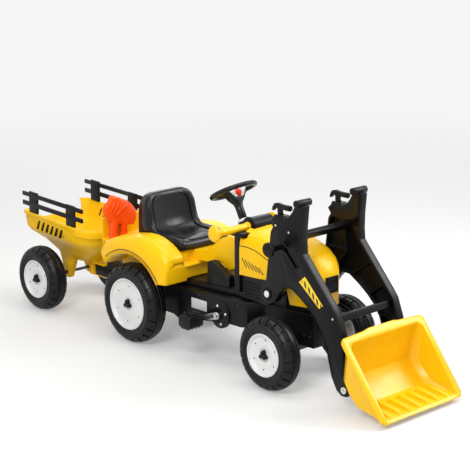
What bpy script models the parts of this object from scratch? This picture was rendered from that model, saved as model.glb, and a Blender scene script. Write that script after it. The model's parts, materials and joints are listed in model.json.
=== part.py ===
# Pedal tractor for a small child with a front loader, a tipping bucket, a steerable front
# axle and a drawn tipping trailer. Metres, +X forward (bucket end), +Y left, +Z up.
# The floor is z = 0 and the origin is in the middle of the footprint.
import bpy
import bmesh
import math
from math import cos, sin, pi, radians
from mathutils import Matrix, Vector

# Driving sizes
TRACK = 0.2050          # outer face of the wheel discs from the middle plane
TYRE_OUT = 0.2070       # outer side of the tyres from the middle plane
FRONT_X = 0.4195
FRONT_R = 0.1170
FRONT_RIM = 0.0695
FRONT_W = 0.0720
REAR_X = -0.2340
REAR_R = 0.1370
REAR_RIM = 0.0890
REAR_W = 0.0800
CART_X = -0.7530
CART_R = 0.1170
CART_RIM = 0.0700
CART_W = 0.0750
LUGS = 11
TOUCH = 0.0003          # seam between two pieces that rest on each other
RUN = 0.0008            # running clearance of a shaft in a bore
WALL = 0.0055           # moulded wall
AXLE_R = 0.0055
ARCH_R = 0.1760         # wheel arch of the rear body
FENDER_Y = 0.1930
SEAT_HALF = 0.1060
PAN_Z = 0.3320          # floor that carries the seat
SIDE_Y = 0.1200         # side panels of the chassis
DECK_HALF = 0.0900
PANEL_X0 = 0.1970
PANEL_X1 = 0.2190
HOOD_HALF = 0.1100
HOOD_Z = 0.3150         # lower edge of the hood at the rear
NOSE_Z = 0.2520         # lower edge of the hood at the nose
PIVOT_X = 0.3746        # loader arm pivot
PIVOT_Z = 0.2906
ARM_IN = 0.1140
ARM_OUT = 0.1400
BUCKET_X = 0.7020
BUCKET_Z = 0.0640
BUCKET_HALF = 0.1810
CRANK_X = 0.1440
CRANK_Z = 0.1680
CRANK_L = 0.0930
CRANK_TURN = 198.0
KING_Y = TYRE_OUT - 0.0890
KNUCKLE_OUT = TYRE_OUT - 0.0670
STEER_ARM = 0.0500
COL_X = 0.1275          # foot of the steering column
COL_Z = 0.4500
COL_LEAN = 28.0         # lean of the column to the rear, degrees
COL_LEN = 0.1087        # from the foot to the middle of the wheel rim
HITCH_X = -0.6000
HITCH_TOP = 0.1620
HITCH_BOT = 0.1270
CART_REAR = -0.8650
CART_TOP = 0.3400       # rim of the cart at the rear wheels
CART_FALL = 0.0500      # fall of the cart rim per metre towards the front

for ob in list(bpy.data.objects):
    bpy.data.objects.remove(ob, do_unlink=True)

main = bpy.data.collections.new("pedal_tractor")
bpy.context.scene.collection.children.link(main)
tools = bpy.data.collections.new("cutters")
bpy.context.scene.collection.children.link(tools)


def material(name, color, roughness, metallic=0.0):
    mat = bpy.data.materials.new(name)
    mat.use_nodes = True
    node = mat.node_tree.nodes["Principled BSDF"]
    node.inputs["Base Color"].default_value = (*color, 1.0)
    node.inputs["Roughness"].default_value = roughness
    node.inputs["Metallic"].default_value = metallic
    mat.diffuse_color = (*color, 1.0)
    return mat


YELLOW = material("yellow_plastic", (0.95, 0.58, 0.02), 0.3)
BLACK = material("black_plastic", (0.018, 0.018, 0.02), 0.45)
TYRE = material("tyre_plastic", (0.02, 0.02, 0.022), 0.6)
WHITE = material("white_plastic", (0.75, 0.75, 0.73), 0.4)
ORANGE = material("orange_plastic", (0.9, 0.09, 0.01), 0.35)
RED = material("red_plastic", (0.7, 0.02, 0.02), 0.35)
STEEL = material("bright_steel", (0.62, 0.62, 0.62), 0.3, 1.0)
DARK = material("dark_steel", (0.05, 0.05, 0.05), 0.5, 1.0)


def mesh_object(name, verts, faces, mat):
    mesh = bpy.data.meshes.new(name)
    mesh.from_pydata(verts, [], faces)
    bm = bmesh.new()
    bm.from_mesh(mesh)
    bmesh.ops.remove_doubles(bm, verts=bm.verts, dist=0.00002)
    bmesh.ops.recalc_face_normals(bm, faces=bm.faces)
    bm.to_mesh(mesh)
    bm.free()
    ob = bpy.data.objects.new(name, mesh)
    main.objects.link(ob)
    mesh.materials.append(mat)
    return ob


def smooth(ob, angle=38.0):
    for poly in ob.data.polygons:
        poly.use_smooth = True
    ob.data.set_sharp_from_angle(angle=radians(angle))
    return ob


def box(name, mat, x, y, z, bevel=0.0):
    bpy.ops.mesh.primitive_cube_add(size=1.0)
    ob = bpy.context.object
    ob.name = name
    size = (x[1] - x[0], y[1] - y[0], z[1] - z[0])
    mid = ((x[0] + x[1]) / 2, (y[0] + y[1]) / 2, (z[0] + z[1]) / 2)
    ob.data.transform(Matrix.Translation(mid) @ Matrix.Diagonal((*size, 1.0)))
    return placed(ob, mat, bevel)


def placed(ob, mat, bevel=0.0):
    for coll in list(ob.users_collection):
        coll.objects.unlink(ob)
    main.objects.link(ob)
    ob.data.materials.clear()
    ob.data.materials.append(mat)
    if bevel > 0:
        mod = ob.modifiers.new("edge", "BEVEL")
        mod.width = bevel
        mod.segments = 1
        mod.limit_method = "ANGLE"
    return ob


def turn_to(axis):
    # matrix that takes +Z to the given axis
    return Vector((0, 0, 1)).rotation_difference(Vector(axis)).to_matrix().to_4x4()


def rod(name, mat, start, end, radius, sides=14):
    a = Vector(start)
    b = Vector(end)
    bpy.ops.mesh.primitive_cylinder_add(vertices=sides, radius=radius, depth=(b - a).length)
    ob = bpy.context.object
    ob.name = name
    ob.data.transform(Matrix.Translation((a + b) / 2) @ turn_to(b - a))
    placed(ob, mat)
    return smooth(ob)


def turned(name, mat, profile, axis, centre, steps=24):
    # closed profile of (radius, height along the axis), turned about the axis
    verts = [(r, 0.0, h) for r, h in profile]
    ends = [(i, (i + 1) % len(profile)) for i in range(len(profile))]
    # a profile that meets the axis stays open there
    edges = [(i, k) for i, k in ends if profile[i][0] > 0 or profile[k][0] > 0]
    mesh = bpy.data.meshes.new(name)
    mesh.from_pydata(verts, edges, [])
    ob = bpy.data.objects.new(name, mesh)
    main.objects.link(ob)
    mod = ob.modifiers.new("turn", "SCREW")
    mod.steps = steps
    mod.render_steps = steps
    mod.use_merge_vertices = True
    mod.merge_threshold = 0.00005
    mod.use_smooth_shade = True
    solid = settled(ob)
    solid.data.transform(Matrix.Translation(centre) @ turn_to(axis))
    solid.data.materials.clear()
    solid.data.materials.append(mat)
    return smooth(solid)


def settled(ob):
    # the object with its modifiers or its curve worked into one welded mesh
    bpy.context.view_layer.update()
    graph = bpy.context.evaluated_depsgraph_get()
    mesh = bpy.data.meshes.new_from_object(ob.evaluated_get(graph), depsgraph=graph)
    mesh.transform(ob.matrix_world)
    name = ob.name
    bpy.data.objects.remove(ob, do_unlink=True)
    bm = bmesh.new()
    bm.from_mesh(mesh)
    bmesh.ops.remove_doubles(bm, verts=bm.verts, dist=0.00002)
    bmesh.ops.recalc_face_normals(bm, faces=bm.faces)
    bm.to_mesh(mesh)
    bm.free()
    new = bpy.data.objects.new(name, mesh)
    mesh.name = name
    main.objects.link(new)
    return new


def plate(name, mat, outline, y0, y1, bevel=0.0, holes=(), frame=None):
    # flat outline in (x, z) made thick along y, or along the axis of another frame
    curve = bpy.data.curves.new(name, "CURVE")
    curve.dimensions = "2D"
    curve.fill_mode = "BOTH"
    curve.extrude = (y1 - y0) / 2
    for ring in [outline, *holes]:
        line = curve.splines.new("POLY")
        line.points.add(len(ring) - 1)
        for point, (u, v) in zip(line.points, ring):
            point.co = (u, v, 0.0, 1.0)
        line.use_cyclic_u = True
    ob = bpy.data.objects.new(name, curve)
    main.objects.link(ob)
    solid = settled(ob)
    mid = (y0 + y1) / 2
    if frame is None:
        # curve x -> +X, curve y -> +Z, thickness -> -Y
        frame = Matrix(((1, 0, 0, 0), (0, 0, -1, mid), (0, 1, 0, 0), (0, 0, 0, 1)))
    solid.data.transform(frame)
    solid.data.materials.clear()
    solid.data.materials.append(mat)
    for poly in solid.data.polygons:
        poly.use_smooth = False
    if bevel > 0:
        mod = solid.modifiers.new("edge", "BEVEL")
        mod.width = bevel
        mod.segments = 1
        mod.limit_method = "ANGLE"
    return solid


def loft(name, mat, rings, angle=38.0, closed=False):
    # skin through rings of equal count, capped at both ends unless it closes on itself
    count = len(rings[0])
    verts = [point for ring in rings for point in ring]
    faces = []
    spans = len(rings) if closed else len(rings) - 1
    for i in range(spans):
        a = i * count
        b = ((i + 1) % len(rings)) * count
        for k in range(count):
            n = (k + 1) % count
            faces.append((a + k, a + n, b + n, b + k))
    if not closed:
        faces.append(tuple(range(count)))
        last = (len(rings) - 1) * count
        faces.append(tuple(last + k for k in range(count)))
    return smooth(mesh_object(name, verts, faces, mat), angle)


def boolean(target, other, kind):
    for coll in list(other.users_collection):
        coll.objects.unlink(other)
    tools.objects.link(other)
    other.hide_render = True
    other.display_type = "WIRE"
    mod = target.modifiers.new(kind.lower(), "BOOLEAN")
    mod.operation = kind
    mod.solver = "EXACT"
    mod.object = other
    return target


def join(target, *others):
    for other in others:
        boolean(target, other, "UNION")
    return target


def cut(target, *others):
    for other in others:
        boolean(target, other, "DIFFERENCE")
    return target


def set_origin(ob, point):
    ob.data.transform(Matrix.Translation(-Vector(point)))
    ob.location = Vector(point)
    return ob


def round_rect(a0, a1, b0, b1, radius, steps=3):
    # rounded rectangle as (a, b) pairs, anticlockwise
    pts = []
    for ca, cb, start in ((a1 - radius, b0 + radius, -90), (a1 - radius, b1 - radius, 0),
                          (a0 + radius, b1 - radius, 90), (a0 + radius, b0 + radius, 180)):
        for k in range(steps + 1):
            t = radians(start + 90 * k / steps)
            pts.append((ca + radius * cos(t), cb + radius * sin(t)))
    return pts


def circle(cx, cz, radius, count=24, start=0.0):
    return [(cx + radius * cos(start + 2 * pi * k / count),
             cz + radius * sin(start + 2 * pi * k / count)) for k in range(count)]


# Wheels: blown tyre with stepped lugs, dished disc with a blind hub, lobed cap
def tyre(name, x, side, radius, rim, width):
    inner = TYRE_OUT - width
    rings = []
    steps = LUGS * 3
    for k in range(steps):
        part = k % 3
        deep = 0.0035 if part == 2 else 0.0
        lift = 0.0 if part == 2 else 0.002
        turn = -pi / 2 + 2 * pi * (k - 0.5) / steps
        mid = (TYRE_OUT + inner) / 2
        prof = [(rim, TYRE_OUT - 0.004), (radius * 0.5 + rim * 0.5, TYRE_OUT), (radius - 0.019, TYRE_OUT - 0.004),
                (radius - 0.009 + lift - deep, TYRE_OUT - 0.012),
                (radius - deep * 0.4, TYRE_OUT - 0.028), (radius, mid),
                (radius - deep * 0.4, inner + 0.028),
                (radius - 0.009 + lift - deep, inner + 0.012), (radius - 0.019, inner + 0.004),
                (rim, inner + 0.004)]
        rings.append([(x + r * cos(turn), side * y, radius + r * sin(turn)) for r, y in prof])
    return loft(name, TYRE, rings, 30.0, closed=True)


def disc(name, x, side, radius, rim, bore, width):
    # heights run outwards along y from the inner edge of the barrel
    inner = TYRE_OUT - width + 0.006
    edge = rim * cos(pi / (LUGS * 3)) - TOUCH
    prof = [(0.0, TRACK - 0.020), (bore, TRACK - 0.020), (bore, inner + 0.012),
            (0.016, inner + 0.012), (0.016, TRACK - 0.022), (edge - 0.006, TRACK - 0.018),
            (edge - 0.004, inner), (edge, inner), (edge, TRACK - 0.003), (edge - 0.005, TRACK),
            (edge - 0.009, TRACK - 0.009), (rim * 0.68, TRACK - 0.009), (0.019, TRACK - 0.012),
            (0.0, TRACK - 0.012)]
    return turned(name, WHITE, prof[::-1], (0, side, 0), (x, 0, radius), 20)


def cap(name, x, side, radius):
    # three round lobes about a common middle
    ring = []
    for k in range(15):
        turn = 2 * pi * k / 15
        ring.append(0.0125 + 0.0050 * cos(3 * turn))
    low = [(x + r * sin(2 * pi * k / 15), side * (TRACK - 0.012 + TOUCH), radius + r * cos(2 * pi * k / 15))
           for k, r in enumerate(ring)]
    mid = [(px, side * (TRACK + 0.0005), pz) for px, _, pz in low]
    top = [(x + (px - x) * 0.72, side * (TRACK + 0.0035), radius + (pz - radius) * 0.72) for px, _, pz in low]
    return loft(name, BLACK, [low, mid, top], 40.0)


WHEELS = (("front", FRONT_X, FRONT_R, FRONT_RIM, FRONT_W),
          ("rear", REAR_X, REAR_R, REAR_RIM, REAR_W),
          ("cart", CART_X, CART_R, CART_RIM, CART_W))
for label, wx, wr, wrim, wwid in WHEELS:
    for hand, side in (("right", -1), ("left", 1)):
        bore = AXLE_R + RUN if label != "rear" else AXLE_R + TOUCH
        for ob in (tyre(f"{label}_tyre_{hand}", wx, side, wr, wrim, wwid),
                   disc(f"{label}_disc_{hand}", wx, side, wr, wrim, bore, wwid),
                   cap(f"{label}_cap_{hand}", wx, side, wr)):
            set_origin(ob, (wx, side * TRACK, wr))

# Chassis shell, open below: deep box at the rear, side panels, narrow nose between the wheels
def frame_ring(x, half, low, high, chamfer):
    return [(x, -half, low), (x, -half, high - chamfer), (x, -half + chamfer, high),
            (x, half - chamfer, high), (x, half, high - chamfer), (x, half, low)]


STATIONS = ((-0.400, 0.060, 0.118, 0.190), (-0.300, 0.095, 0.110, 0.200),
            (-0.114, 0.098, 0.108, 0.208), (-0.062, SIDE_Y, 0.108, 0.219),
            (0.010, SIDE_Y, 0.112, 0.222), (0.050, SIDE_Y, 0.143, 0.224),
            (0.235, SIDE_Y, 0.146, 0.231), (0.262, SIDE_Y - 0.002, 0.150, 0.232),
            (0.292, 0.066, 0.1253, 0.234), (0.500, 0.062, 0.1253, 0.236))
shell = loft("chassis_shell", BLACK,
             [frame_ring(x, h, low, high, 0.006) for x, h, low, high in STATIONS], 30.0)
inside = loft("chassis_inside", BLACK,
              [frame_ring(x + (WALL if i == 0 else -WALL if i == len(STATIONS) - 1 else 0.0),
                          h - WALL, 0.050, high - WALL, 0.004)
               for i, (x, h, low, high) in enumerate(STATIONS)], 30.0)
cut(shell, inside)
for side in (-1, 1):
    y0, y1 = sorted((side * (SIDE_Y - 0.004), side * (SIDE_Y + 0.008)))
    join(shell, plate(f"guard_{side}", BLACK, circle(CRANK_X, CRANK_Z, 0.044, 24), y0, y1))
cut(shell, rod("crank_bore", BLACK, (CRANK_X, -0.14, CRANK_Z), (CRANK_X, 0.14, CRANK_Z), 0.0070 + RUN, 16),
    rod("axle_bore", BLACK, (REAR_X, -0.14, REAR_R), (REAR_X, 0.14, REAR_R), AXLE_R + RUN, 16))

# Upper tier of the chassis with the ribbed block under the hood and the arm pivots
DECK = ((-0.300, 0.200 + TOUCH, 0.2340), (-0.114, 0.208 + TOUCH, 0.2375), (-0.062, 0.219 + TOUCH, 0.2410),
        (0.010, 0.222 + TOUCH, 0.2450), (0.050, 0.224 + TOUCH, 0.2475), (0.2185, 0.2304 + TOUCH, 0.2560))
deck = loft("chassis_deck", BLACK,
            [[(x, -DECK_HALF, low), (x, -DECK_HALF, high - 0.008), (x, -DECK_HALF + 0.010, high),
              (x, DECK_HALF - 0.010, high), (x, DECK_HALF, high - 0.008), (x, DECK_HALF, low)]
             for x, low, high in DECK], 30.0)
block = plate("engine_block", BLACK,
              [(0.2120, 0.2365), (0.340, 0.2365), (0.340, HOOD_Z - TOUCH), (PANEL_X1 + TOUCH, HOOD_Z - TOUCH),
               (PANEL_X1 + TOUCH, 0.2550), (0.2120, 0.2550)], -0.100, 0.100)
tower = plate("pivot_tower", BLACK,
              [(0.335, 0.2365), (0.397, 0.2365), (0.397, 0.300), (0.390, 0.3120), (0.335, 0.3120)],
              -0.0780, 0.0780, 0.002)
nose = plate("nose_block", BLACK,
             [(0.390, -0.0690), (0.455, -0.0640), (0.485, -0.0520), (0.500, -0.0380), (0.500, 0.0380),
              (0.485, 0.0520), (0.455, 0.0640), (0.390, 0.0690)], 0.2365, NOSE_Z - TOUCH,
             frame=Matrix.Translation((0, 0, (0.2365 + NOSE_Z - TOUCH) / 2)))
hump_x = [(0.040, 0.240), (0.044, 0.316), (0.052, 0.3235), (0.070, 0.3235), (0.082, 0.317),
          (0.128, 0.292), (0.146, 0.287), (0.150, 0.250)]
hump = plate("foot_hump", BLACK, hump_x, -0.0885, -0.0600, 0.003)
join(deck, block, tower, nose, hump)
join(deck, rod("pivot_boss", BLACK, (PIVOT_X, -0.1128, PIVOT_Z), (PIVOT_X, 0.1128, PIVOT_Z), 0.0195, 20))
for side in (-1, 1):
    for k in range(5):
        z = 0.2475 + 0.0115 * k
        y0, y1 = sorted((side * 0.0965, side * 0.108))
        cut(deck, box(f"rib_gap_{side}_{k}", BLACK, (0.236, 0.330), (y0, y1), (z, z + 0.0055)))

# Front and rear axles
beam = box("front_axle_beam", DARK, (FRONT_X - 0.013, FRONT_X + 0.013), (-KING_Y, KING_Y), (0.1030 + TOUCH, 0.1250))
for side in (-1, 1):
    join(beam, rod(f"beam_eye_{side}", DARK, (FRONT_X, side * KING_Y, 0.1030 + TOUCH),
                   (FRONT_X, side * KING_Y, 0.1250), 0.0130, 16))
for side in (-1, 1):
    cut(beam, rod(f"beam_bore_{side}", DARK, (FRONT_X, side * KING_Y, 0.090),
                  (FRONT_X, side * KING_Y, 0.140), 0.0050 + RUN, 14))

for hand, side in (("right", -1), ("left", 1)):
    y0, y1 = sorted((side * (KING_Y - 0.0135), side * KNUCKLE_OUT))
    ya, yb = sorted((side * (KNUCKLE_OUT - 0.0072), side * KNUCKLE_OUT))
    knuckle = box(f"knuckle_{hand}", DARK, (FRONT_X - 0.012, FRONT_X + 0.012), (ya, yb), (0.0960, 0.1330))
    join(knuckle,
         box(f"knuckle_top_{side}", DARK, (FRONT_X - 0.0115, FRONT_X + 0.0115), (y0, y1), (0.1250 + TOUCH, 0.1325)),
         plate(f"knuckle_arm_{side}", DARK,
               [(FRONT_X + 0.0115, y0), (FRONT_X + 0.0115, y1), (FRONT_X - 0.0115, y1),
                (FRONT_X - STEER_ARM - 0.007, side * KING_Y + 0.007),
                (FRONT_X - STEER_ARM - 0.007, side * KING_Y - 0.007), (FRONT_X - 0.0115, y0)],
               0.0965, 0.1030, frame=Matrix.Translation((0, 0, 0.09975))),
         rod(f"king_pin_{side}", DARK, (FRONT_X, side * KING_Y, 0.1000), (FRONT_X, side * KING_Y, 0.1300), 0.0050, 14),
         rod(f"track_pin_{side}", DARK, (FRONT_X - STEER_ARM, side * KING_Y, 0.1000),
             (FRONT_X - STEER_ARM, side * KING_Y, 0.1150), 0.0040, 12),
         rod(f"stub_{side}", DARK, (FRONT_X, side * (KNUCKLE_OUT - 0.0040), FRONT_R),
             (FRONT_X, side * (TRACK - 0.021), FRONT_R),
             AXLE_R, 14))
    set_origin(knuckle, (FRONT_X, side * KING_Y, FRONT_R))

tie = box("tie_rod", DARK, (FRONT_X - STEER_ARM - 0.0110, FRONT_X - STEER_ARM + 0.0110), (-KING_Y - 0.0110, KING_Y + 0.0110),
          (0.1030 + TOUCH, 0.1110))
for side in (-1, 1):
    cut(tie, box(f"tie_slot_{side}", DARK, (FRONT_X - STEER_ARM - 0.0050, FRONT_X - STEER_ARM + 0.0105 - 0.0015),
                 (side * KING_Y - 0.0052, side * KING_Y + 0.0052), (0.1000, 0.1150)))

shaft = rod("rear_axle", STEEL, (REAR_X, -(TRACK - 0.021), REAR_R), (REAR_X, TRACK - 0.021, REAR_R), AXLE_R, 16)
join(shaft, rod("axle_sprocket", STEEL, (REAR_X, -0.062, REAR_R), (REAR_X, -0.057, REAR_R), 0.024, 18))
for side in (-1, 1):
    join(shaft, rod(f"axle_collar_{side}", STEEL, (REAR_X, side * 0.0995, REAR_R), (REAR_X, side * 0.118, REAR_R),
                    0.011, 14))
set_origin(shaft, (REAR_X, 0, REAR_R))

# Crank with its two arms and the pedals
turn = radians(CRANK_TURN)
crank = rod("crank", STEEL, (CRANK_X, -0.1500, CRANK_Z), (CRANK_X, 0.1500, CRANK_Z), 0.0070, 16)
join(crank, rod("crank_sprocket", STEEL, (CRANK_X, -0.062, CRANK_Z), (CRANK_X, -0.057, CRANK_Z), 0.034, 20))
for hand, side in (("right", -1), ("left", 1)):
    way = 1 if side < 0 else -1
    px = CRANK_X + way * CRANK_L * cos(turn)
    pz = CRANK_Z + way * CRANK_L * sin(turn)
    tx, tz = way * cos(turn), way * sin(turn)
    arm_outline = []
    for k in range(7):
        a = turn + (0 if way > 0 else pi) + pi / 2 + pi * k / 6
        arm_outline.append((CRANK_X + 0.0115 * cos(a), CRANK_Z + 0.0115 * sin(a)))
    for k in range(7):
        a = turn + (0 if way > 0 else pi) - pi / 2 + pi * k / 6
        arm_outline.append((px + 0.0085 * cos(a), pz + 0.0085 * sin(a)))
    y0, y1 = sorted((side * 0.1340, side * 0.1405))
    join(crank, plate(f"crank_arm_{side}", STEEL, arm_outline, y0, y1),
         rod(f"pedal_spindle_{side}", STEEL, (px, side * 0.1380, pz), (px, side * 0.1900, pz), 0.0050, 12))
    core = [(px + u, pz + v) for u, v in round_rect(-0.0290, 0.0290, -0.0200, 0.0200, 0.010, 3)]
    y0, y1 = sorted((side * 0.1430, side * 0.2000))
    pedal = plate(f"pedal_{hand}", BLACK, core, y0, y1, 0.002)
    for k in range(4):
        for u in (-1, 1):
            yy = sorted((side * (0.1475 + 0.0145 * k), side * (0.1545 + 0.0145 * k)))
            z = sorted((pz + u * 0.0190, pz + u * 0.0240))
            join(pedal, box(f"grip_{side}_{k}_{u}", BLACK, (px - 0.0180, px + 0.0180), yy, z))
    cut(pedal, rod(f"pedal_bore_{side}", BLACK, (px, side * 0.1400, pz), (px, side * 0.1912, pz), 0.0050 + RUN, 14))
    set_origin(pedal, (px, side * 0.1715, pz))
set_origin(crank, (CRANK_X, 0, CRANK_Z))

# Rear body: two fenders, seat floor, skirt, ledge, tunnel to the dash, tool shelf
# Stations of a fender: foot and crown as (x, z), and how far the side face stands in
def on_arch(angle, radius):
    return (REAR_X + radius * cos(radians(angle)), REAR_R + radius * sin(radians(angle)))


FENDER = [((-0.0502, 0.2340), (-0.0502, 0.2880), 0.0150), ((-0.0560, 0.2340), (-0.0505, 0.2985), 0.0050),
          (on_arch(33.0, ARCH_R), (-0.0505, 0.3075), 0.0), (on_arch(38.5, ARCH_R), (-0.0520, 0.3160), 0.0)]
FENDER += [(on_arch(a, ARCH_R), on_arch(a, crown), 0.0)
           for a, crown in ((45.5, 0.2570), (54.0, 0.2590), (64.0, 0.2520), (76.0, 0.2440), (88.0, 0.2335),
                            (100.0, 0.2290), (110.0, 0.2290), (119.0, 0.2330), (128.0, 0.2390), (136.0, 0.2330))]


def shoulder(foot, crown, inset):
    # rounded outer face from the arch lip up to the flat of the crown, as (share, y)
    deep = math.hypot(crown[0] - foot[0], crown[1] - foot[1])
    lip = 0.005 / deep
    out = FENDER_Y - inset
    return deep, [(0.0, out - 0.001)] + [
        (lip + (1.0 - lip) * sin(k * pi / 10), out - 0.040 + 0.042 * cos(k * pi / 10) ** 0.8) for k in range(5)
    ] + [(1.0, out - 0.042)]


def fender_ring(side, foot, crown, inset):
    deep, face = shoulder(foot, crown, inset)
    wall = WALL / deep
    out = FENDER_Y - inset
    prof = face + [(1.0, SEAT_HALF + 0.0015), (1.0 - wall, SEAT_HALF + 0.0015), (1.0 - wall, out - 0.044),
                   (0.88 - wall, out - 0.0225), (0.62 - wall, out - 0.0115), (0.0, out - 0.0065)]
    return [(foot[0] + (crown[0] - foot[0]) * s, side * y, foot[1] + (crown[1] - foot[1]) * s) for s, y in prof]


def eased(rows):
    # one more station between each two, on a smooth line through their neighbours
    flat = [[*a, *b, c] for a, b, c in rows]
    fine = []
    for i, row in enumerate(flat[:-1]):
        fine.append(row)
        if 1 < i < len(flat) - 2:
            fine.append([(9.0 * (p + q) - o - n) / 16.0
                         for o, p, q, n in zip(flat[i - 1], row, flat[i + 1], flat[i + 2])])
    fine.append(flat[-1])
    return [((r[0], r[1]), (r[2], r[3]), r[4]) for r in fine]


STATION = eased(FENDER)
body = loft("seat_body", YELLOW, [fender_ring(-1, *row) for row in STATION], 40.0)
other = loft("fender_left", YELLOW, [fender_ring(1, *row) for row in STATION], 40.0)
join(body, other)
WALL_LINE = [(-0.375, 0.262), (-0.384, 0.300), (-0.374, 0.3280), (-0.342, 0.3385), (-0.285, 0.3560),
             (-0.226, 0.3655), (-0.177, 0.3710), (-0.125, 0.3640), (-0.080, 0.3430), (-0.0770, 0.325),
             (-0.0770, 0.2350), (-0.360, 0.2350)]
for side in (-1, 1):
    y0, y1 = sorted((side * (SEAT_HALF + 0.0012), side * (SEAT_HALF + 0.0012 + WALL)))
    join(body, plate(f"well_wall_{side}", YELLOW, WALL_LINE, y0, y1))
HALF_IN = SEAT_HALF + 0.0040
ACROSS = Matrix(((0, 0, 1, 0), (1, 0, 0, 0), (0, 1, 0, 0), (0, 0, 0, 1)))
for side in (-1, 1):
    closing = [(side * y, 0.2340 + 0.0540 * s) for s, y in shoulder(*FENDER[0])[1]]
    closing = [(side * 0.1300, 0.2340)] + [(y, z - 0.0006) if z > 0.24 else (y, z) for y, z in closing]
    join(body, plate(f"front_close_{side}", YELLOW, closing + [(side * 0.1300, 0.2874)], -0.0028, 0.0028,
                     frame=Matrix.Translation((-0.0530, 0, 0)) @ ACROSS))
join(body,
     box("seat_floor", YELLOW, (-0.384, -0.0752), (-HALF_IN, HALF_IN), (PAN_Z - WALL, PAN_Z)),
     box("rear_wall", YELLOW, (-0.3835, -0.3780), (-HALF_IN, HALF_IN), (0.2620, PAN_Z - 0.001)),
     box("front_skirt", YELLOW, (-0.0558, -0.0502), (-0.1380, 0.1380), (0.2340, 0.2875)),
     box("front_step", YELLOW, (-0.0800, -0.0506), (-0.1380, 0.1380), (0.2825, 0.2878)),
     box("skirt_top", YELLOW, (-0.0808, -0.0752), (-HALF_IN, HALF_IN), (0.2900, PAN_Z - 0.0005)),
     plate("ledge", YELLOW, [(-0.0780, 0.2840), (-0.0400, 0.2850), (-0.0350, 0.2885), (-0.0390, 0.2925),
                             (-0.0780, 0.2980)], -0.1020, 0.1020),
     box("rib_rear", YELLOW, (-0.250, -0.244), (-0.084, 0.084), (0.2353, PAN_Z - 0.001)),
     box("rib_front", YELLOW, (-0.110, -0.104), (-0.084, 0.084), (0.2382, PAN_Z - 0.001)))
TUNNEL = [(-0.0780, 0.2930), (0.010, 0.3020), (0.062, 0.3140), (0.078, 0.3120), (0.104, 0.2910),
          (0.131, 0.3020), (PANEL_X0 - TOUCH, 0.3000), (PANEL_X0 - TOUCH, 0.4100), (0.131, 0.4100),
          (0.100, 0.4070), (0.070, 0.3950), (0.036, 0.3690), (0.000, 0.3460), (-0.052, 0.3320),
          (-0.0780, 0.3315)]
join(body, plate("tunnel", YELLOW, TUNNEL, -0.0500, 0.0500))
SHELF_Z = 0.3100
TOOL_X = -0.4260
TOOL_Y = (-0.0985, -0.0530)
RACK_X = -0.4520
join(body,
     box("shelf", YELLOW, (RACK_X, -0.3785), (-0.1300, 0.1300), (SHELF_Z - 0.008, SHELF_Z)),
     box("rack_wall", YELLOW, (RACK_X, RACK_X + WALL), (-0.1298, 0.1298), (SHELF_Z - 0.004, 0.3870)),
     box("shelf_lip", YELLOW, (RACK_X + 0.001, RACK_X + WALL + 0.001), (-0.1298, 0.1298), (0.2860, SHELF_Z - 0.003)))
cut(body, box("deck_notch", YELLOW, (-0.0900, -0.0450), (-DECK_HALF - 0.0010, DECK_HALF + 0.0010),
              (0.2200, 0.2427)))
for i, ty in enumerate(TOOL_Y):
    cut(body, rod(f"tool_hole_{i}", YELLOW, (TOOL_X, ty, 0.290), (TOOL_X, ty, 0.320), 0.0085 + RUN, 14))
for poly in body.data.polygons:
    poly.use_smooth = True

# Seat: one black moulding, pan and backrest with raised sides
SEAT = (((-0.0580, 0.3400), (-0.0620, 0.3345), 0.092, 0.000), ((-0.0620, 0.3580), (-0.0750, 0.3325), 0.102, 0.003),
        ((-0.0720, 0.3650), (-0.0850, 0.3325), 0.1045, 0.005),
        ((-0.1150, 0.3665), (-0.1150, 0.3325), 0.1055, 0.008), ((-0.1800, 0.3660), (-0.1900, 0.3325), 0.1055, 0.010),
        ((-0.2060, 0.3710), (-0.2620, 0.3325), 0.1055, 0.012), ((-0.2190, 0.3860), (-0.2790, 0.3420), 0.1055, 0.011),
        ((-0.2270, 0.4100), (-0.2810, 0.3700), 0.1055, 0.010), ((-0.2350, 0.4500), (-0.2810, 0.4400), 0.1040, 0.008),
        ((-0.2400, 0.4750), (-0.2800, 0.4700), 0.0960, 0.005), ((-0.2430, 0.4890), (-0.2770, 0.4860), 0.0820, 0.002),
        ((-0.2490, 0.4960), (-0.2720, 0.4940), 0.0640, 0.000))
rings = []
for (fx, fz), (bx, bz), half, wing in SEAT:
    front = Vector((fx, 0, fz))
    back = Vector((bx, 0, bz))
    out = (front - back).normalized()
    ring = []
    for y, base, lift in ((-1.0, 1, 0.0), (-1.0, 0, 0.55), (-0.955, 0, 1.0), (-0.87, 0, 0.9), (-0.74, 0, 0.0),
                          (0.0, 0, -0.25), (0.74, 0, 0.0), (0.87, 0, 0.9), (0.955, 0, 1.0), (1.0, 0, 0.55),
                          (1.0, 1, 0.0)):
        spot = back if base else front + out * wing * lift
        ring.append((spot.x, half * y, spot.z))
    rings.append(ring)
seat = loft("seat", BLACK, rings, 50.0)

# Hood: yellow shell open below, set on the ribbed block, with the front grille
HOOD = ((PANEL_X1 + TOUCH, HOOD_HALF, 0.4600, HOOD_Z), (0.300, 0.1000, 0.4540, HOOD_Z), (0.345, 0.0930, 0.4480, HOOD_Z),
        (0.398, 0.0835, 0.4360, HOOD_Z), (0.414, 0.0800, 0.4320, NOSE_Z), (0.450, 0.0715, 0.4210, NOSE_Z),
        (0.475, 0.0640, 0.4060, NOSE_Z), (0.495, 0.0530, 0.3860, NOSE_Z), (0.507, 0.0420, 0.3680, NOSE_Z),
        (0.5135, 0.0310, 0.3560, NOSE_Z))


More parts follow.
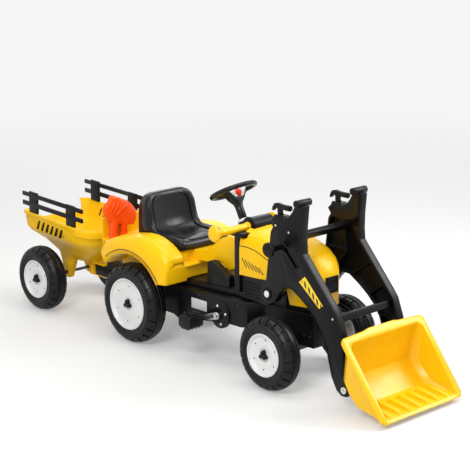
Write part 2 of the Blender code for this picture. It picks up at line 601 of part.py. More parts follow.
def hood_ring(x, half, top, low):
    side = [(1.0, low), (1.0, top - 0.36 * (top - 0.30)), (0.965, top - 0.18 * (top - 0.30)),
            (0.86, top - 0.012), (0.58, top - 0.003), (0.0, top)]
    ring = [(x, -half * u, z) for u, z in side]
    return ring + [(x, half * u, z) for u, z in reversed(side[:-1])]


hood = loft("hood", YELLOW, [hood_ring(*row) for row in HOOD], 35.0)
core = [(PANEL_X1 - 0.010, HOOD_HALF - WALL, 0.4600 - WALL, 0.28)]
core += [(x - (0.006 if i > 6 else 0.0), half - WALL, top - WALL - 0.001, 0.28 if i < 3 else 0.22)
         for i, (x, half, top, _) in enumerate(HOOD[1:])]
cut(hood, loft("hood_inside", YELLOW, [hood_ring(*row) for row in core], 35.0))
BAR_X = 0.2000
BAR_Z = 0.4580
cut(hood, rod("drum_bay", YELLOW, (BAR_X, -0.0570, BAR_Z), (BAR_X, 0.0680, BAR_Z), 0.0330, 24),
    box("lug_bay", YELLOW, (0.150, 0.2330), (0.0600, 0.0860), (0.430, 0.500)),
    box("saddle_bay", YELLOW, (0.150, 0.2430), (-0.1250, -0.0810), (0.4340, 0.500)))
grille = box("grille", BLACK, (0.5135 + TOUCH, 0.5175), (-0.0270, 0.0270), (0.2950, 0.3480))
for k in range(5):
    z = 0.3010 + 0.0092 * k
    cut(grille, box(f"grille_gap_{k}", BLACK, (0.5150, 0.5200), (-0.0225, 0.0225), (z, z + 0.0046)))

# Dash panel with the saddle and the lug that carry the cross bar
dash = box("dash_panel", BLACK, (PANEL_X0, PANEL_X1), (-0.1095, 0.1095), (0.2563, 0.4500))
join(dash, box("saddle", BLACK, (0.1780, 0.2400), (-0.1150, -0.0850), (0.4380, 0.4500)),
     box("saddle_web", BLACK, (PANEL_X0 - 0.004, PANEL_X1), (-0.1040, -0.0960), (0.4000, 0.4450)),
     box("bar_lug", BLACK, (0.1880, PANEL_X1), (0.0645, 0.0820), (0.4300, 0.4730)))
cut(dash, rod("bar_seat", BLACK, (BAR_X, -0.1300, BAR_Z), (BAR_X, -0.0540, BAR_Z), 0.0120 + TOUCH, 20),
    rod("bar_hole", BLACK, (BAR_X, 0.0500, BAR_Z), (BAR_X, 0.0900, BAR_Z), 0.0090 + TOUCH, 16),
    rod("drum_room", BLACK, (BAR_X, -0.0605, BAR_Z), (BAR_X, 0.0640, BAR_Z), 0.0330, 24))
bar = turned("hand_bar", YELLOW,
             [(0.0, -0.2050), (0.0280, -0.2050), (0.0300, -0.2020), (0.0200, -0.1900), (0.0120, -0.1740),
              (0.0120, -0.0590), (0.0150, -0.0570), (0.0150, -0.0530), (0.0090, -0.0530), (0.0090, 0.0450),
              (0.0290, 0.0510), (0.0300, 0.0560), (0.0090, 0.0600), (0.0090, 0.0850), (0.0, 0.0850)][::-1],
             (0, 1, 0), (BAR_X, 0, BAR_Z), 18)
drum = turned("hand_bar_drum", BLACK,
              [(0.0090 + TOUCH, -0.0500), (0.0285, -0.0500), (0.0300, -0.0485), (0.0300, -0.0440),
               (0.0275, -0.0430), (0.0275, 0.0400), (0.0250, 0.0420), (0.0090 + TOUCH, 0.0420)],
              (0, 1, 0), (BAR_X, 0, BAR_Z), 20)

# Steering column, socket, collar, wheel and horn button
LEAN = radians(COL_LEAN)
COL_AXIS = Vector((-sin(LEAN), 0.0, cos(LEAN)))
FOOT = Vector((COL_X, 0.0, COL_Z))
HUB = FOOT + COL_AXIS * COL_LEN
COL_FRAME = Matrix.Translation(HUB) @ Matrix.Rotation(-LEAN, 4, "Y")
socket = plate("column_socket", BLACK,
               [(0.1080, 0.4103), (PANEL_X0 - TOUCH, 0.4103), (PANEL_X0 - TOUCH, 0.4200), (0.1600, 0.4440),
                (0.1440, 0.4540), (0.1060, 0.4375)], -0.0280, 0.0280, 0.003)
collar = turned("column_collar", WHITE,
                [(0.0065 + RUN, -0.1060), (0.0190, -0.1060), (0.0200, -0.1050), (0.0200, -0.0990),
                 (0.0185, -0.0970), (0.0065 + RUN, -0.0970)], COL_AXIS, HUB, 20)
join(socket, rod("collar_seat", BLACK, HUB - COL_AXIS * 0.124, HUB - COL_AXIS * (0.1060 + TOUCH), 0.0205, 20))
cut(socket, rod("column_bore", BLACK, HUB - COL_AXIS * 0.180, HUB - COL_AXIS * 0.060, 0.0065 + RUN, 16))
bpy.ops.mesh.primitive_torus_add(major_segments=24, minor_segments=7, major_radius=0.0735, minor_radius=0.0085)
wheel = bpy.context.object
wheel.name = "steering_wheel"
placed(wheel, BLACK)
smooth(wheel, 60.0)
hub_rings = []
for z, hx0, hx1, hy, rad in ((0.0050, -0.0180, 0.0190, 0.0400, 0.008), (0.0000, -0.0200, 0.0200, 0.0420, 0.008),
                             (-0.0280, -0.0160, 0.0170, 0.0300, 0.010), (-0.0450, -0.0145, 0.0145, 0.0155, 0.012),
                             (-0.0600, -0.0130, 0.0130, 0.0130, 0.0125)):
    hub_rings.append([(a, b, z) for a, b in round_rect(hx0, hx1, -hy, hy, rad, 3)])
hub = loft("wheel_hub", BLACK, hub_rings, 45.0)
for side in (-1, 1):
    spoke = plate(f"spoke_{side}", BLACK, [(side * 0.030, 0.0040), (side * 0.0720, 0.0035), (side * 0.0720, -0.0030),
                                          (side * 0.0500, -0.0100), (side * 0.022, -0.0330)], -0.007, 0.007,
                  frame=Matrix(((0, 0, 1, 0), (1, 0, 0, 0), (0, 1, 0, 0), (0, 0, 0, 1))))
    join(wheel, spoke)
spoke = plate("spoke_rear", BLACK, [(-0.0150, 0.0040), (-0.0720, 0.0035), (-0.0720, -0.0030), (-0.0150, -0.0120)],
              -0.008, 0.008)
join(wheel, spoke, hub,
     turned("column_tube", BLACK, [(0.0, -0.0550), (0.0130, -0.0550), (0.0138, -0.0600), (0.0138, -0.0930),
                                   (0.0125, -0.0955), (0.0065, -0.0955), (0.0065, -0.1470), (0.0, -0.1470)],
            (0, 0, 1), (0, 0, 0), 16))
BUTTON_R = 0.0120
PLATE_X = 0.0170
# the white plate lies in a flat cut into the front of the hub
cut(wheel, box("plate_flat", BLACK, (PLATE_X, 0.040), (-0.0450, 0.0450), (-0.0400, 0.0200)),
    rod("button_well", BLACK, (PLATE_X - 0.0085, 0, -0.0120), (0.030, 0, -0.0120), BUTTON_R + RUN, 20))
face = plate("wheel_plate", WHITE, [(-0.0380, 0.0040), (0.0380, 0.0040), (0.0340, -0.0060), (0.0170, -0.0250),
                                    (-0.0170, -0.0250), (-0.0340, -0.0060)], PLATE_X + TOUCH, PLATE_X + 0.0035,
             frame=Matrix.Translation((PLATE_X + 0.0019, 0, 0)) @ Matrix(((0, 0, 1, 0), (1, 0, 0, 0),
                                                                          (0, 1, 0, 0), (0, 0, 0, 1))))
cut(face, rod("plate_hole", WHITE, (0.010, 0, -0.0120), (0.030, 0, -0.0120), BUTTON_R + RUN, 20))
button = turned("horn_button", RED, [(0.0, PLATE_X - 0.0030), (BUTTON_R, PLATE_X - 0.0030),
                                     (BUTTON_R, PLATE_X + 0.0055), (0.0095, PLATE_X + 0.0075),
                                     (0.0, PLATE_X + 0.0085)], (1, 0, 0), (0, 0, -0.0120), 20)


def carry(ob, frame):
    # moves a piece and the shapes that are joined to it or cut from it
    ob.data.transform(frame)
    for mod in ob.modifiers:
        if mod.type == "BOOLEAN":
            carry(mod.object, frame)
    return ob


for ob in (wheel, face, button):
    carry(ob, COL_FRAME)
    set_origin(ob, HUB)

# Loader arms: channel plates open to the inside, with a top flange, post and cross grip
ARM = [(0.4000, 0.5080), (0.3900, 0.4920), (0.3700, 0.3300), (0.3520, 0.3130), (0.3455, 0.2940), (0.3500, 0.2740),
       (0.3640, 0.2620), (0.3850, 0.2610), (0.4070, 0.2720), (0.4270, 0.3030), (0.4520, 0.3280), (0.4820, 0.3270),
       (0.5180, 0.3060), (0.5560, 0.2790), (0.5870, 0.2500), (0.6100, 0.2160), (0.6300, 0.1580), (0.6500, 0.0900),
       (0.6700, 0.0560), (0.6900, 0.0430), (0.7120, 0.0450), (0.7230, 0.0620), (0.7130, 0.0840), (0.6990, 0.1000),
       (0.6930, 0.1700), (0.6860, 0.2270), (0.6630, 0.2860), (0.6400, 0.3140), (0.5240, 0.4440), (0.5210, 0.4800),
       (0.5220, 0.5260), (0.5280, 0.5900), (0.4930, 0.5900), (0.4800, 0.5650), (0.4640, 0.5480), (0.4540, 0.5460),
       (0.4460, 0.5340), (0.4420, 0.5480), (0.4060, 0.5480), (0.4000, 0.5360), (0.3880, 0.5240)]
POCKET = [(0.4040, 0.4980), (0.3960, 0.4880), (0.3780, 0.3400), (0.4000, 0.3200), (0.4200, 0.3180), (0.4480, 0.3380),
          (0.4850, 0.3370), (0.5220, 0.3150), (0.5610, 0.2860), (0.5930, 0.2560), (0.6170, 0.2190), (0.6370, 0.1600),
          (0.6560, 0.0980), (0.6850, 0.0920), (0.6850, 0.1680), (0.6780, 0.2240), (0.6560, 0.2810), (0.6340, 0.3070),
          (0.5170, 0.4390), (0.5080, 0.4700), (0.4700, 0.4980)]
GROOVE = (Vector((0.4450, 0, 0.4560)), Vector((0.4960, 0, 0.4020)))
SLIDE = (GROOVE[1] - GROOVE[0]).normalized()
LEVER_X = 0.4190
LEVER_Z = 0.5340


def stadium(a, b, radius, count=6):
    way = math.atan2(b.z - a.z, b.x - a.x)
    pts = [(a.x + radius * cos(way + pi / 2 + pi * k / count), a.z + radius * sin(way + pi / 2 + pi * k / count))
           for k in range(count + 1)]
    return pts + [(b.x + radius * cos(way - pi / 2 + pi * k / count),
                   b.z + radius * sin(way - pi / 2 + pi * k / count)) for k in range(count + 1)]


for hand, side in (("right", -1), ("left", 1)):
    y0, y1 = sorted((side * ARM_IN, side * ARM_OUT))
    arm = plate(f"arm_{hand}", BLACK, ARM, y0, y1)
    p0, p1 = sorted((side * (ARM_IN - 0.010), side * (ARM_OUT - WALL)))
    cut(arm, plate(f"arm_pocket_{side}", BLACK, POCKET, p0, p1))
    r0, r1 = sorted((side * (ARM_IN + 0.0010), side * (ARM_OUT - 0.0020)))
    for k, (ax, az, bx, bz) in enumerate(((0.384, 0.402, 0.470, 0.400), (0.418, 0.330, 0.470, 0.398),
                                          (0.470, 0.398, 0.455, 0.500), (0.495, 0.330, 0.572, 0.385),
                                          (0.566, 0.275, 0.622, 0.325), (0.606, 0.222, 0.684, 0.222),
                                          (0.640, 0.150, 0.690, 0.150))):
        way = Vector((bx - ax, 0, bz - az)).normalized() * 0.0018
        join(arm, plate(f"arm_rib_{side}_{k}", BLACK,
                        [(ax - way.z, az + way.x), (ax + way.z, az - way.x), (bx + way.z, bz - way.x),
                         (bx - way.z, bz + way.x)], r0, r1))
    grip0, grip1 = sorted((side * 0.0935, side * 0.1525))
    join(arm, rod(f"grip_{side}", BLACK, (0.5080, grip0, 0.5970), (0.5080, grip1, 0.5970), 0.0115, 14))
    cut(arm, rod(f"arm_bore_{side}", BLACK, (PIVOT_X, side * 0.100, PIVOT_Z), (PIVOT_X, side * 0.150, PIVOT_Z),
                 0.0060 + RUN, 16),
        rod(f"bucket_bore_{side}", BLACK, (BUCKET_X, side * 0.100, BUCKET_Z), (BUCKET_X, side * 0.150, BUCKET_Z),
            0.0050 + RUN, 16))
    f0, f1 = sorted((side * 0.1210, side * 0.1330))
    cut(arm, box(f"lever_slot_{side}", BLACK, (0.4040, 0.4340), (f0, f1), (0.5200, 0.5600)),
        rod(f"lever_bore_{side}", BLACK, (LEVER_X, side * 0.1160, LEVER_Z), (LEVER_X, side * 0.1380, LEVER_Z),
            0.0032 + RUN, 12))
    if side < 0:
        cut(arm, plate("arm_groove", BLACK, stadium(*GROOVE, 0.0068), -0.145, -0.128),
            plate("groove_recess", BLACK, stadium(*GROOVE, 0.0122), -0.1348, -0.1240))
    set_origin(arm, (PIVOT_X, side * ARM_OUT, PIVOT_Z))
    # lever with a curled handle, turning on a pin in the fork of the arm
    c0, c1 = sorted((side * 0.1222, side * 0.1318))
    lever = plate(f"lever_{hand}", BLACK,
                  [(0.4130, 0.5250), (0.4250, 0.5250), (0.4270, 0.5400), (0.4260, 0.5620), (0.4400, 0.5650),
                   (0.4400, 0.5790), (0.4120, 0.5830), (0.3960, 0.5790), (0.3880, 0.5660), (0.3870, 0.5560),
                   (0.3940, 0.5570), (0.3990, 0.5670), (0.4100, 0.5650), (0.4120, 0.5400)], c0, c1)
    join(lever, rod(f"lever_grip_{side}", BLACK, (0.4360, side * 0.1270, 0.5720), (0.4620, side * 0.1270, 0.5720),
                    0.0090, 12),
         rod(f"lever_pin_{side}", BLACK, (LEVER_X, side * 0.1165, LEVER_Z), (LEVER_X, side * 0.1375, LEVER_Z),
             0.0032, 10))
    set_origin(lever, (LEVER_X, side * 0.1270, LEVER_Z))
    pin = turned(f"pivot_pin_{hand}", WHITE,
                 [(0.0, 0.1000), (0.0060, 0.1000), (0.0060, ARM_OUT + 0.0010), (0.0110, ARM_OUT + 0.0010),
                  (0.0110, ARM_OUT + 0.0030), (0.0080, ARM_OUT + 0.0050), (0.0, ARM_OUT + 0.0056)],
                 (0, side, 0), (PIVOT_X, 0, PIVOT_Z), 16)
    cut(bpy.data.objects["chassis_deck"],
        rod(f"pin_seat_{side}", BLACK, (PIVOT_X, side * 0.0990, PIVOT_Z), (PIVOT_X, side * 0.1200, PIVOT_Z),
            0.0060 + TOUCH, 16))
upper = plate("crossbar_upper", BLACK, [(0.4560, 0.4780), (0.4700, 0.4680), (0.4860, 0.4900), (0.4720, 0.5000)],
              -(ARM_IN - TOUCH), ARM_IN - TOUCH, 0.002)
lower = plate("crossbar_lower", BLACK, [(0.6300, 0.2720), (0.6380, 0.2500), (0.6600, 0.2580), (0.6520, 0.2800)],
              -(ARM_OUT - WALL - TOUCH), ARM_OUT - WALL - TOUCH, 0.002)
set_origin(upper, (PIVOT_X, 0, PIVOT_Z))
set_origin(lower, (PIVOT_X, 0, PIVOT_Z))
peg = turned("peg_handle", BLACK,
             [(0.0, 0.1260), (0.0110, 0.1260), (0.0110, 0.1300), (0.0060, 0.1310), (0.0060, 0.1412), (0.0110, 0.1412),
              (0.0110, 0.1440), (0.0092, 0.1460), (0.0092, 0.1960), (0.0225, 0.1985), (0.0225, 0.2070),
              (0.0200, 0.2090), (0.0, 0.2090)], (0, -1, 0), (GROOVE[0].x, 0, GROOVE[0].z), 18)
set_origin(peg, (GROOVE[0].x, -0.1700, GROOVE[0].z))

# Bucket: tapered shell with a rolled rim, ribbed floor, toothed lip and two hinge ears
FACE_TOP = Vector((0.7245, 0, 0.2270))
FACE_LIP = Vector((0.8880, 0, 0.0155))
FACE_WAY = (FACE_LIP - FACE_TOP).normalized()
FACE_OUT = Vector((-FACE_WAY.z, 0, FACE_WAY.x))


def bucket_ring(y, back, low, grow):
    # profile of the body: face top, back top, back foot, floor rear, floor front
    top = FACE_TOP + FACE_OUT * grow
    lip = FACE_LIP + FACE_OUT * grow
    return [(top.x, y, top.z), (0.7150 + back, y, 0.2080), (0.7050 + back, y, 0.1000), (0.7230 + back, y, 0.0700),
            (0.7660 + back * 0.5, y, 0.0280 + low), (0.8500, y, 0.0180 + low * 0.5), (lip.x, y, lip.z)]


BODY_HALF = 0.1660
bucket = loft("bucket", YELLOW, [bucket_ring(-BODY_HALF, 0.022, 0.012, 0.0), bucket_ring(-0.1480, 0.0, 0.0, 0.0),
                                 bucket_ring(0.1480, 0.0, 0.0, 0.0), bucket_ring(BODY_HALF, 0.022, 0.012, 0.0)], 25.0)


def inner_ring(y, back, low):
    t = WALL
    top = FACE_TOP + FACE_OUT * 0.030 + FACE_WAY * t
    lip = FACE_LIP + FACE_OUT * 0.030 - FACE_WAY * t
    foot = FACE_LIP - FACE_WAY * 0.010
    return [(top.x, y, top.z), (0.7150 + back + t * 1.3, y, 0.2080 - t), (0.7050 + back + t, y, 0.1000 + t * 0.3),
            (0.7230 + back + t * 0.8, y, 0.0700 + t * 0.8), (0.7660 + back * 0.5 + t * 0.5, y, 0.0280 + low + t),
            (0.8480, y, 0.0180 + low * 0.5 + t), (foot.x, y, foot.z), (lip.x, y, lip.z)]


half = BODY_HALF - WALL
hollow = loft("bucket_inside", YELLOW, [inner_ring(-half, 0.022, 0.012), inner_ring(-0.1440, 0.0, 0.0),
                                        inner_ring(0.1440, 0.0, 0.0), inner_ring(half, 0.022, 0.012)], 25.0)
# rim frame in the plane of the mouth, humped in the middle of the top edge
FACE_LEN = (FACE_LIP - FACE_TOP).length
outer = [(-BUCKET_HALF + 0.008, -0.006), (-0.070, -0.010), (-0.050, -0.016), (0.050, -0.016), (0.070, -0.010),
         (BUCKET_HALF - 0.008, -0.006), (BUCKET_HALF, 0.004), (BUCKET_HALF, FACE_LEN - 0.014),
         (BUCKET_HALF - 0.012, FACE_LEN + 0.002), (-BUCKET_HALF + 0.012, FACE_LEN + 0.002),
         (-BUCKET_HALF, FACE_LEN - 0.014), (-BUCKET_HALF, 0.004)]
FACE_FRAME = Matrix(((0, FACE_WAY.x, -FACE_OUT.x, FACE_TOP.x), (1, 0, 0, 0),
                     (0, FACE_WAY.z, -FACE_OUT.z, FACE_TOP.z), (0, 0, 0, 1)))
rim = plate("bucket_rim", YELLOW, outer, -0.0050, 0.0050, frame=FACE_FRAME)
join(bucket, rim)
cut(bucket, hollow)
for k in range(7):
    y = -0.1275 + 0.0425 * k
    rib = plate(f"floor_rib_{k}", YELLOW,
                [(0.7820, 0.0290), (0.8500, 0.0208), (0.8850, 0.0186), (0.8920, 0.0140), (0.8926, 0.0184),
                 (0.8600, 0.0330), (0.8000, 0.0400)], y - 0.0087, y + 0.0087)
    join(bucket, rib)
for side in (-1, 1):
    e0, e1 = sorted((side * 0.0980, side * (ARM_IN - 0.0015)))
    ear = plate(f"bucket_ear_{side}", YELLOW,
                [(BUCKET_X - 0.0125, BUCKET_Z + 0.0060), (BUCKET_X - 0.0100, BUCKET_Z - 0.0090),
                 (BUCKET_X, BUCKET_Z - 0.0135), (0.7300, 0.0500), (0.7420, 0.0545), (0.7280, 0.0700),
                 (0.7110, 0.0950), (0.7050, 0.0960), (BUCKET_X - 0.0060, BUCKET_Z + 0.0140)], e0, e1)
    join(bucket, ear, turned(f"bucket_bolt_{side}", YELLOW,
                             [(0.0, 0.1000), (0.0050, 0.1000), (0.0050, ARM_OUT + 0.0010), (0.0095, ARM_OUT + 0.0010),
                              (0.0095, ARM_OUT + 0.0040), (0.0, ARM_OUT + 0.0050)], (0, side, 0),
                             (BUCKET_X, 0, BUCKET_Z), 14))
set_origin(bucket, (BUCKET_X, 0, BUCKET_Z))

# Hitch bracket on the rear of the chassis
hitch = box("hitch_bracket", BLACK, (HITCH_X - 0.0200, -0.4000 - TOUCH), (-0.0260, 0.0260), (HITCH_BOT, HITCH_TOP))
join(hitch, rod("hitch_end", BLACK, (HITCH_X - 0.0200, 0, HITCH_BOT), (HITCH_X - 0.0200, 0, HITCH_TOP), 0.0260, 20),
     box("hitch_rise", BLACK, (HITCH_X + 0.0400, -0.4001 - TOUCH), (-0.0255, 0.0255), (0.1300, 0.1850)),
     box("hitch_flange", BLACK, (-0.4120, -0.4000 - TOUCH), (-0.0500, 0.0500), (0.1220, 0.1880)))
cut(hitch, rod("hitch_bore", BLACK, (HITCH_X, 0, 0.100), (HITCH_X, 0, 0.200), 0.0060 + RUN, 16))

# Trailer: tub, side rails, axle and pin
TUB = ((0.170, -0.800, -0.700, -0.632, 0.048), (0.195, -0.812, -0.690, -0.610, 0.066),
       (0.235, -0.853, -0.640, -0.535, 0.091), (0.270, -0.884, -0.600, -0.500, 0.133),
       (0.285, -0.8905, -0.585, -0.494, 0.1430), (CART_TOP - 0.0110, -0.8955, -0.580, -0.4900, 0.1462),
       (CART_TOP - 0.0080, -0.9000, -0.578, -0.4855, 0.1500), (CART_TOP - 0.0015, -0.9000, -0.578, -0.4855, 0.1500),
       (CART_TOP, -0.8985, -0.578, -0.4870, 0.1487), (CART_TOP, -0.8920, -0.580, -0.4940, 0.1400),
       (0.285, -0.8855, -0.587, -0.5000, 0.1375), (0.266, -0.8790, -0.602, -0.5090, 0.1254),
       (0.236, -0.8480, -0.642, -0.5460, 0.0852), (0.201, -0.8160, -0.690, -0.6180, 0.0560))


def tub_ring(z, rear, start, front, half):
    span = front - start
    side = [(rear, half - 0.022), (rear + 0.006, half - 0.007), (rear + 0.020, half), (start, half),
            (start + 0.24 * span, half * 0.965), (start + 0.62 * span, half * 0.888),
            (start + 0.84 * span, half * 0.706), (start + 0.94 * span, half * 0.435)]
    ring = [(x, -y) for x, y in side] + [(front, 0.0)] + [(x, y) for x, y in reversed(side)]
    share = min(1.0, max(0.0, (z - 0.2) / 0.12))
    return [(x, y, z - share * CART_FALL * (x - CART_REAR)) for x, y in ring]


tub = loft("trailer_tub", YELLOW, [tub_ring(*row) for row in TUB], 40.0)
for side in (-1, 1):
    rows = []
    for z, x0, x1, y0, y1 in ((0.1985, -0.792, -0.714, 0.026, 0.064), (0.1600, -0.779, -0.727, 0.030, 0.062),
                              (0.0980, -0.766, -0.740, 0.040, 0.060)):
        rows.append([(x0, side * y0, z), (x1, side * y0, z), (x1, side * y1, z), (x0, side * y1, z)])
    join(tub, loft(f"axle_leg_{side}", YELLOW, rows))
    for k in range(6):
        x = -0.7985 + 0.0265 * k
        z = 0.3144 - 0.0020 * k
        w0, w1 = sorted((side * 0.1280, side * 0.1600))
        cut(tub, plate(f"slot_{side}_{k}", YELLOW, [(x, z), (x - 0.0154, z - 0.0300), (x - 0.0074, z - 0.0300),
                                                    (x + 0.0080, z)], w0, w1))
cut(tub, box("tail_cut", YELLOW, (-0.9300, -0.8700), (-0.1180, 0.1180), (0.3020, 0.3700)))
clevis = plate("clevis", YELLOW, [(-0.6640, 0.1215), (HITCH_X + 0.0200, 0.1215), (HITCH_X + 0.0200, 0.1262), (-0.6520, 0.1262),
                                  (-0.6520, 0.1630), (HITCH_X + 0.0200, 0.1630), (HITCH_X + 0.0200, 0.1690), (-0.6400, 0.1720),
                                  (-0.6640, 0.1800)], -0.0240, 0.0240, 0.0015)
join(tub, clevis)
cut(tub, rod("clevis_bore", YELLOW, (HITCH_X, 0, 0.110), (HITCH_X, 0, 0.178), 0.0060 + TOUCH, 16),
    rod("cart_axle_bore", YELLOW, (CART_X, -0.10, CART_R), (CART_X, 0.10, CART_R), AXLE_R + TOUCH, 16))
set_origin(tub, (HITCH_X, 0, HITCH_TOP))
pin = turned("hitch_pin", STEEL, [(0.0, 0.1140), (0.0110, 0.1140), (0.0110, 0.1215 - TOUCH), (0.0060, 0.1215 - TOUCH),
                                  (0.0060, 0.1750), (0.0045, 0.1765), (0.0, 0.1765)], (0, 0, 1), (HITCH_X, 0, 0), 16)
set_origin(pin, (HITCH_X, 0, HITCH_TOP))
rod_axle = rod("trailer_axle", DARK, (CART_X, -(TRACK - 0.021), CART_R), (CART_X, TRACK - 0.021, CART_R), AXLE_R, 14)
for side in (-1, 1):
    join(rod_axle, rod(f"cart_collar_{side}", DARK, (CART_X, side * 0.1240, CART_R), (CART_X, side * 0.1300, CART_R),
                       0.0095, 14))
set_origin(rod_axle, (HITCH_X, 0, HITCH_TOP))


def rim_top(x):
    return CART_TOP - CART_FALL * (x - CART_REAR)


RAIL_FALL = 0.0355
for hand, side in (("right", -1), ("left", 1)):
    b0, b1 = sorted((side * 0.1385, side * 0.1465))
    q0, q1 = sorted((side * 0.1370, side * 0.1450))
    bars = []
    for k, (z, high) in enumerate(((0.4120, 0.0152), (0.3785, 0.0160))):
        drop = -0.352 * RAIL_FALL
        bars.append(plate(f"rail_bar_{side}_{k}", BLACK,
                          [(-0.8950, z - high), (-0.5430, z - high + drop), (-0.5430, z + drop), (-0.8950, z)],
                          b0, b1, 0.001))
    rail = bars[0]
    rail.name = f"rail_{hand}"
    join(rail, bars[1])
    for k, (x, rise) in enumerate(((-0.8320, 0.0065), (-0.6130, 0.0030))):
        z = 0.4120 + rise - RAIL_FALL * (x + 0.8950)
        join(rail, plate(f"rail_post_{side}_{k}", BLACK,
                         [(x - 0.0245, rim_top(x - 0.0245) + TOUCH), (x + 0.0245, rim_top(x + 0.0245) + TOUCH),
                          (x + 0.0245, z - 0.0020), (x - 0.0245, z)], q0, q1, 0.001))
    set_origin(rail, (HITCH_X, 0, HITCH_TOP))

# Hand tools standing in the shelf: shovel and rake with moulded heads
HEADS = (("shovel", TOOL_Y[0], 0.0390), ("rake", TOOL_Y[1], 0.0420))
for i, (name, ty, reach) in enumerate(HEADS):
    y0 = ty - (0.0385 if i == 0 else 0.0215)
    y1 = ty + (0.0215 if i == 0 else 0.0660)
    stem = turned(f"{name}_stem", ORANGE,
                  [(0.0, 0.2920), (0.0080, 0.2930), (0.0085, 0.2950), (0.0085, SHELF_Z + TOUCH),
                   (0.0150, SHELF_Z + TOUCH), (0.0165, 0.3160), (0.0165, 0.3700), (0.0140, 0.3900), (0.0, 0.3900)],
                  (0, 0, 1), (TOOL_X, ty, 0), 14)
    if i == 0:
        line = [(y0 + 0.004, 0.3760), (ty - 0.010, 0.3700), (y1, 0.3690), (y1, 0.4560), (y1 - 0.020, 0.4620),
                (ty + 0.002, 0.4570), (ty - 0.012, 0.4440), (y0 + 0.008, 0.4320), (y0, 0.4100), (y0, 0.3900)]
    else:
        line = [(y0, 0.3690), (ty + 0.020, 0.3690), (y1 - 0.012, 0.3760), (y1, 0.3900), (y1 + 0.002, 0.4080),
                (y1 - 0.008, 0.4250), (ty + 0.030, 0.4390), (ty + 0.010, 0.4490), (y0, 0.4550)]
    head = plate(name, ORANGE, line, -0.0110, 0.0110, 0.004,
                 frame=Matrix.Translation((TOOL_X, 0, 0)) @ ACROSS)
    join(head, stem)
    for k in range(3 if i == 0 else 2):
        shift = -0.024 if i == 0 else -0.012
        a = (TOOL_X + 0.0100, ty + shift + 0.012 * k, 0.3900 + 0.012 * k)
        b = (TOOL_X + 0.0100, ty + shift + 0.024 + 0.008 * k, 0.4080 + 0.010 * k)
        join(head, rod(f"{name}_rib_{k}", ORANGE, a, b, 0.0030, 8))
    set_origin(head, (TOOL_X, ty, SHELF_Z))
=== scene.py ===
import json
import bpy
from math import atan2, cos, hypot, pi, radians, sin
from mathutils import Matrix, Vector


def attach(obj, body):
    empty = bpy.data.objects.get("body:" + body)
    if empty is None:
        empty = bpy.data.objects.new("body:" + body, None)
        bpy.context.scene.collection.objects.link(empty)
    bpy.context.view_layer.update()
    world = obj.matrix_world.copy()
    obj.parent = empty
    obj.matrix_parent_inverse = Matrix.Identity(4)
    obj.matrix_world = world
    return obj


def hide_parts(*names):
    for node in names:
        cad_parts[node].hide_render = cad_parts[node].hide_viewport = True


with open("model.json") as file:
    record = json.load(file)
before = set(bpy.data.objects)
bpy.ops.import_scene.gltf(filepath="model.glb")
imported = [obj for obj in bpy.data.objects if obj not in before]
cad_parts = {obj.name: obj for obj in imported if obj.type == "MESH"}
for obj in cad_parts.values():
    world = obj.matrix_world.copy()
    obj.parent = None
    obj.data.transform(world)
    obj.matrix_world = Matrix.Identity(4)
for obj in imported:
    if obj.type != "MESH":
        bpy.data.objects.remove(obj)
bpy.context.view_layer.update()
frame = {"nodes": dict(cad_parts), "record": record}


# Studio. The toy stands on a wide pale floor under one large soft lamp from the front right,
# weaker ones from the rear left and the front left, and a broad one overhead. The camera stands
# where the photograph's did, low in front of the right side.
PHOTO_PX = 470
FOCAL_PX = 1500.0
SENSOR_MM = 36.0
CAMERA_AT = Vector((3.5298, -3.2306, 1.6108))
CAMERA_AZIMUTH = radians(46.857)
CAMERA_HEIGHT = radians(14.388)
CAMERA_ROLL = radians(-0.237)
FLOOR_WIDE = 60.0
FLOOR_TONE = (0.80, 0.80, 0.79, 1.0)
GLOW_TONE = (0.92, 0.92, 0.92, 1.0)
GLOW_FADE = (("From Min", 0.9), ("From Max", 5.0), ("To Min", 0.30), ("To Max", 1.0))
# name, place, width in metres and watts
LAMPS = (("key", (1.6, -3.0, 3.0), 1.6, 108.0),
         ("fill", (-2.8, 2.4, 2.2), 2.6, 26.0),
         ("overhead", (0.1, 0.1, 3.4), 2.4, 58.0),
         ("front", (1.7, 1.9, 2.1), 1.4, 56.0))
LAMPS_AIM = Vector((0.0, 0.0, 0.2))
AIR_ON_TOY = 0.34
AIR_SEEN = 0.92

back = Vector((sin(CAMERA_AZIMUTH) * cos(CAMERA_HEIGHT),
               -cos(CAMERA_AZIMUTH) * cos(CAMERA_HEIGHT), sin(CAMERA_HEIGHT)))
across = Vector((cos(CAMERA_AZIMUTH), sin(CAMERA_AZIMUTH), 0.0))
upward = back.cross(across)
right_way = across * cos(CAMERA_ROLL) + upward * sin(CAMERA_ROLL)
up_way = upward * cos(CAMERA_ROLL) - across * sin(CAMERA_ROLL)
bpy.ops.object.camera_add(location=CAMERA_AT)
camera = bpy.context.object
camera.data.sensor_width = SENSOR_MM
camera.data.lens = SENSOR_MM * FOCAL_PX / PHOTO_PX
turned_frame = Matrix((right_way, up_way, back)).transposed()
camera.rotation_euler = turned_frame.to_euler()
bpy.context.scene.camera = camera

bpy.ops.mesh.primitive_plane_add(size=FLOOR_WIDE)
floor = bpy.context.object
floor.name = "floor"
floor_finish = bpy.data.materials.new("floor_paint")
floor_finish.use_nodes = True
paint = floor_finish.node_tree
coat_of_paint = paint.nodes["Principled BSDF"]
coat_of_paint.inputs["Base Color"].default_value = FLOOR_TONE
coat_of_paint.inputs["Roughness"].default_value = 0.9
floor.data.materials.append(floor_finish)
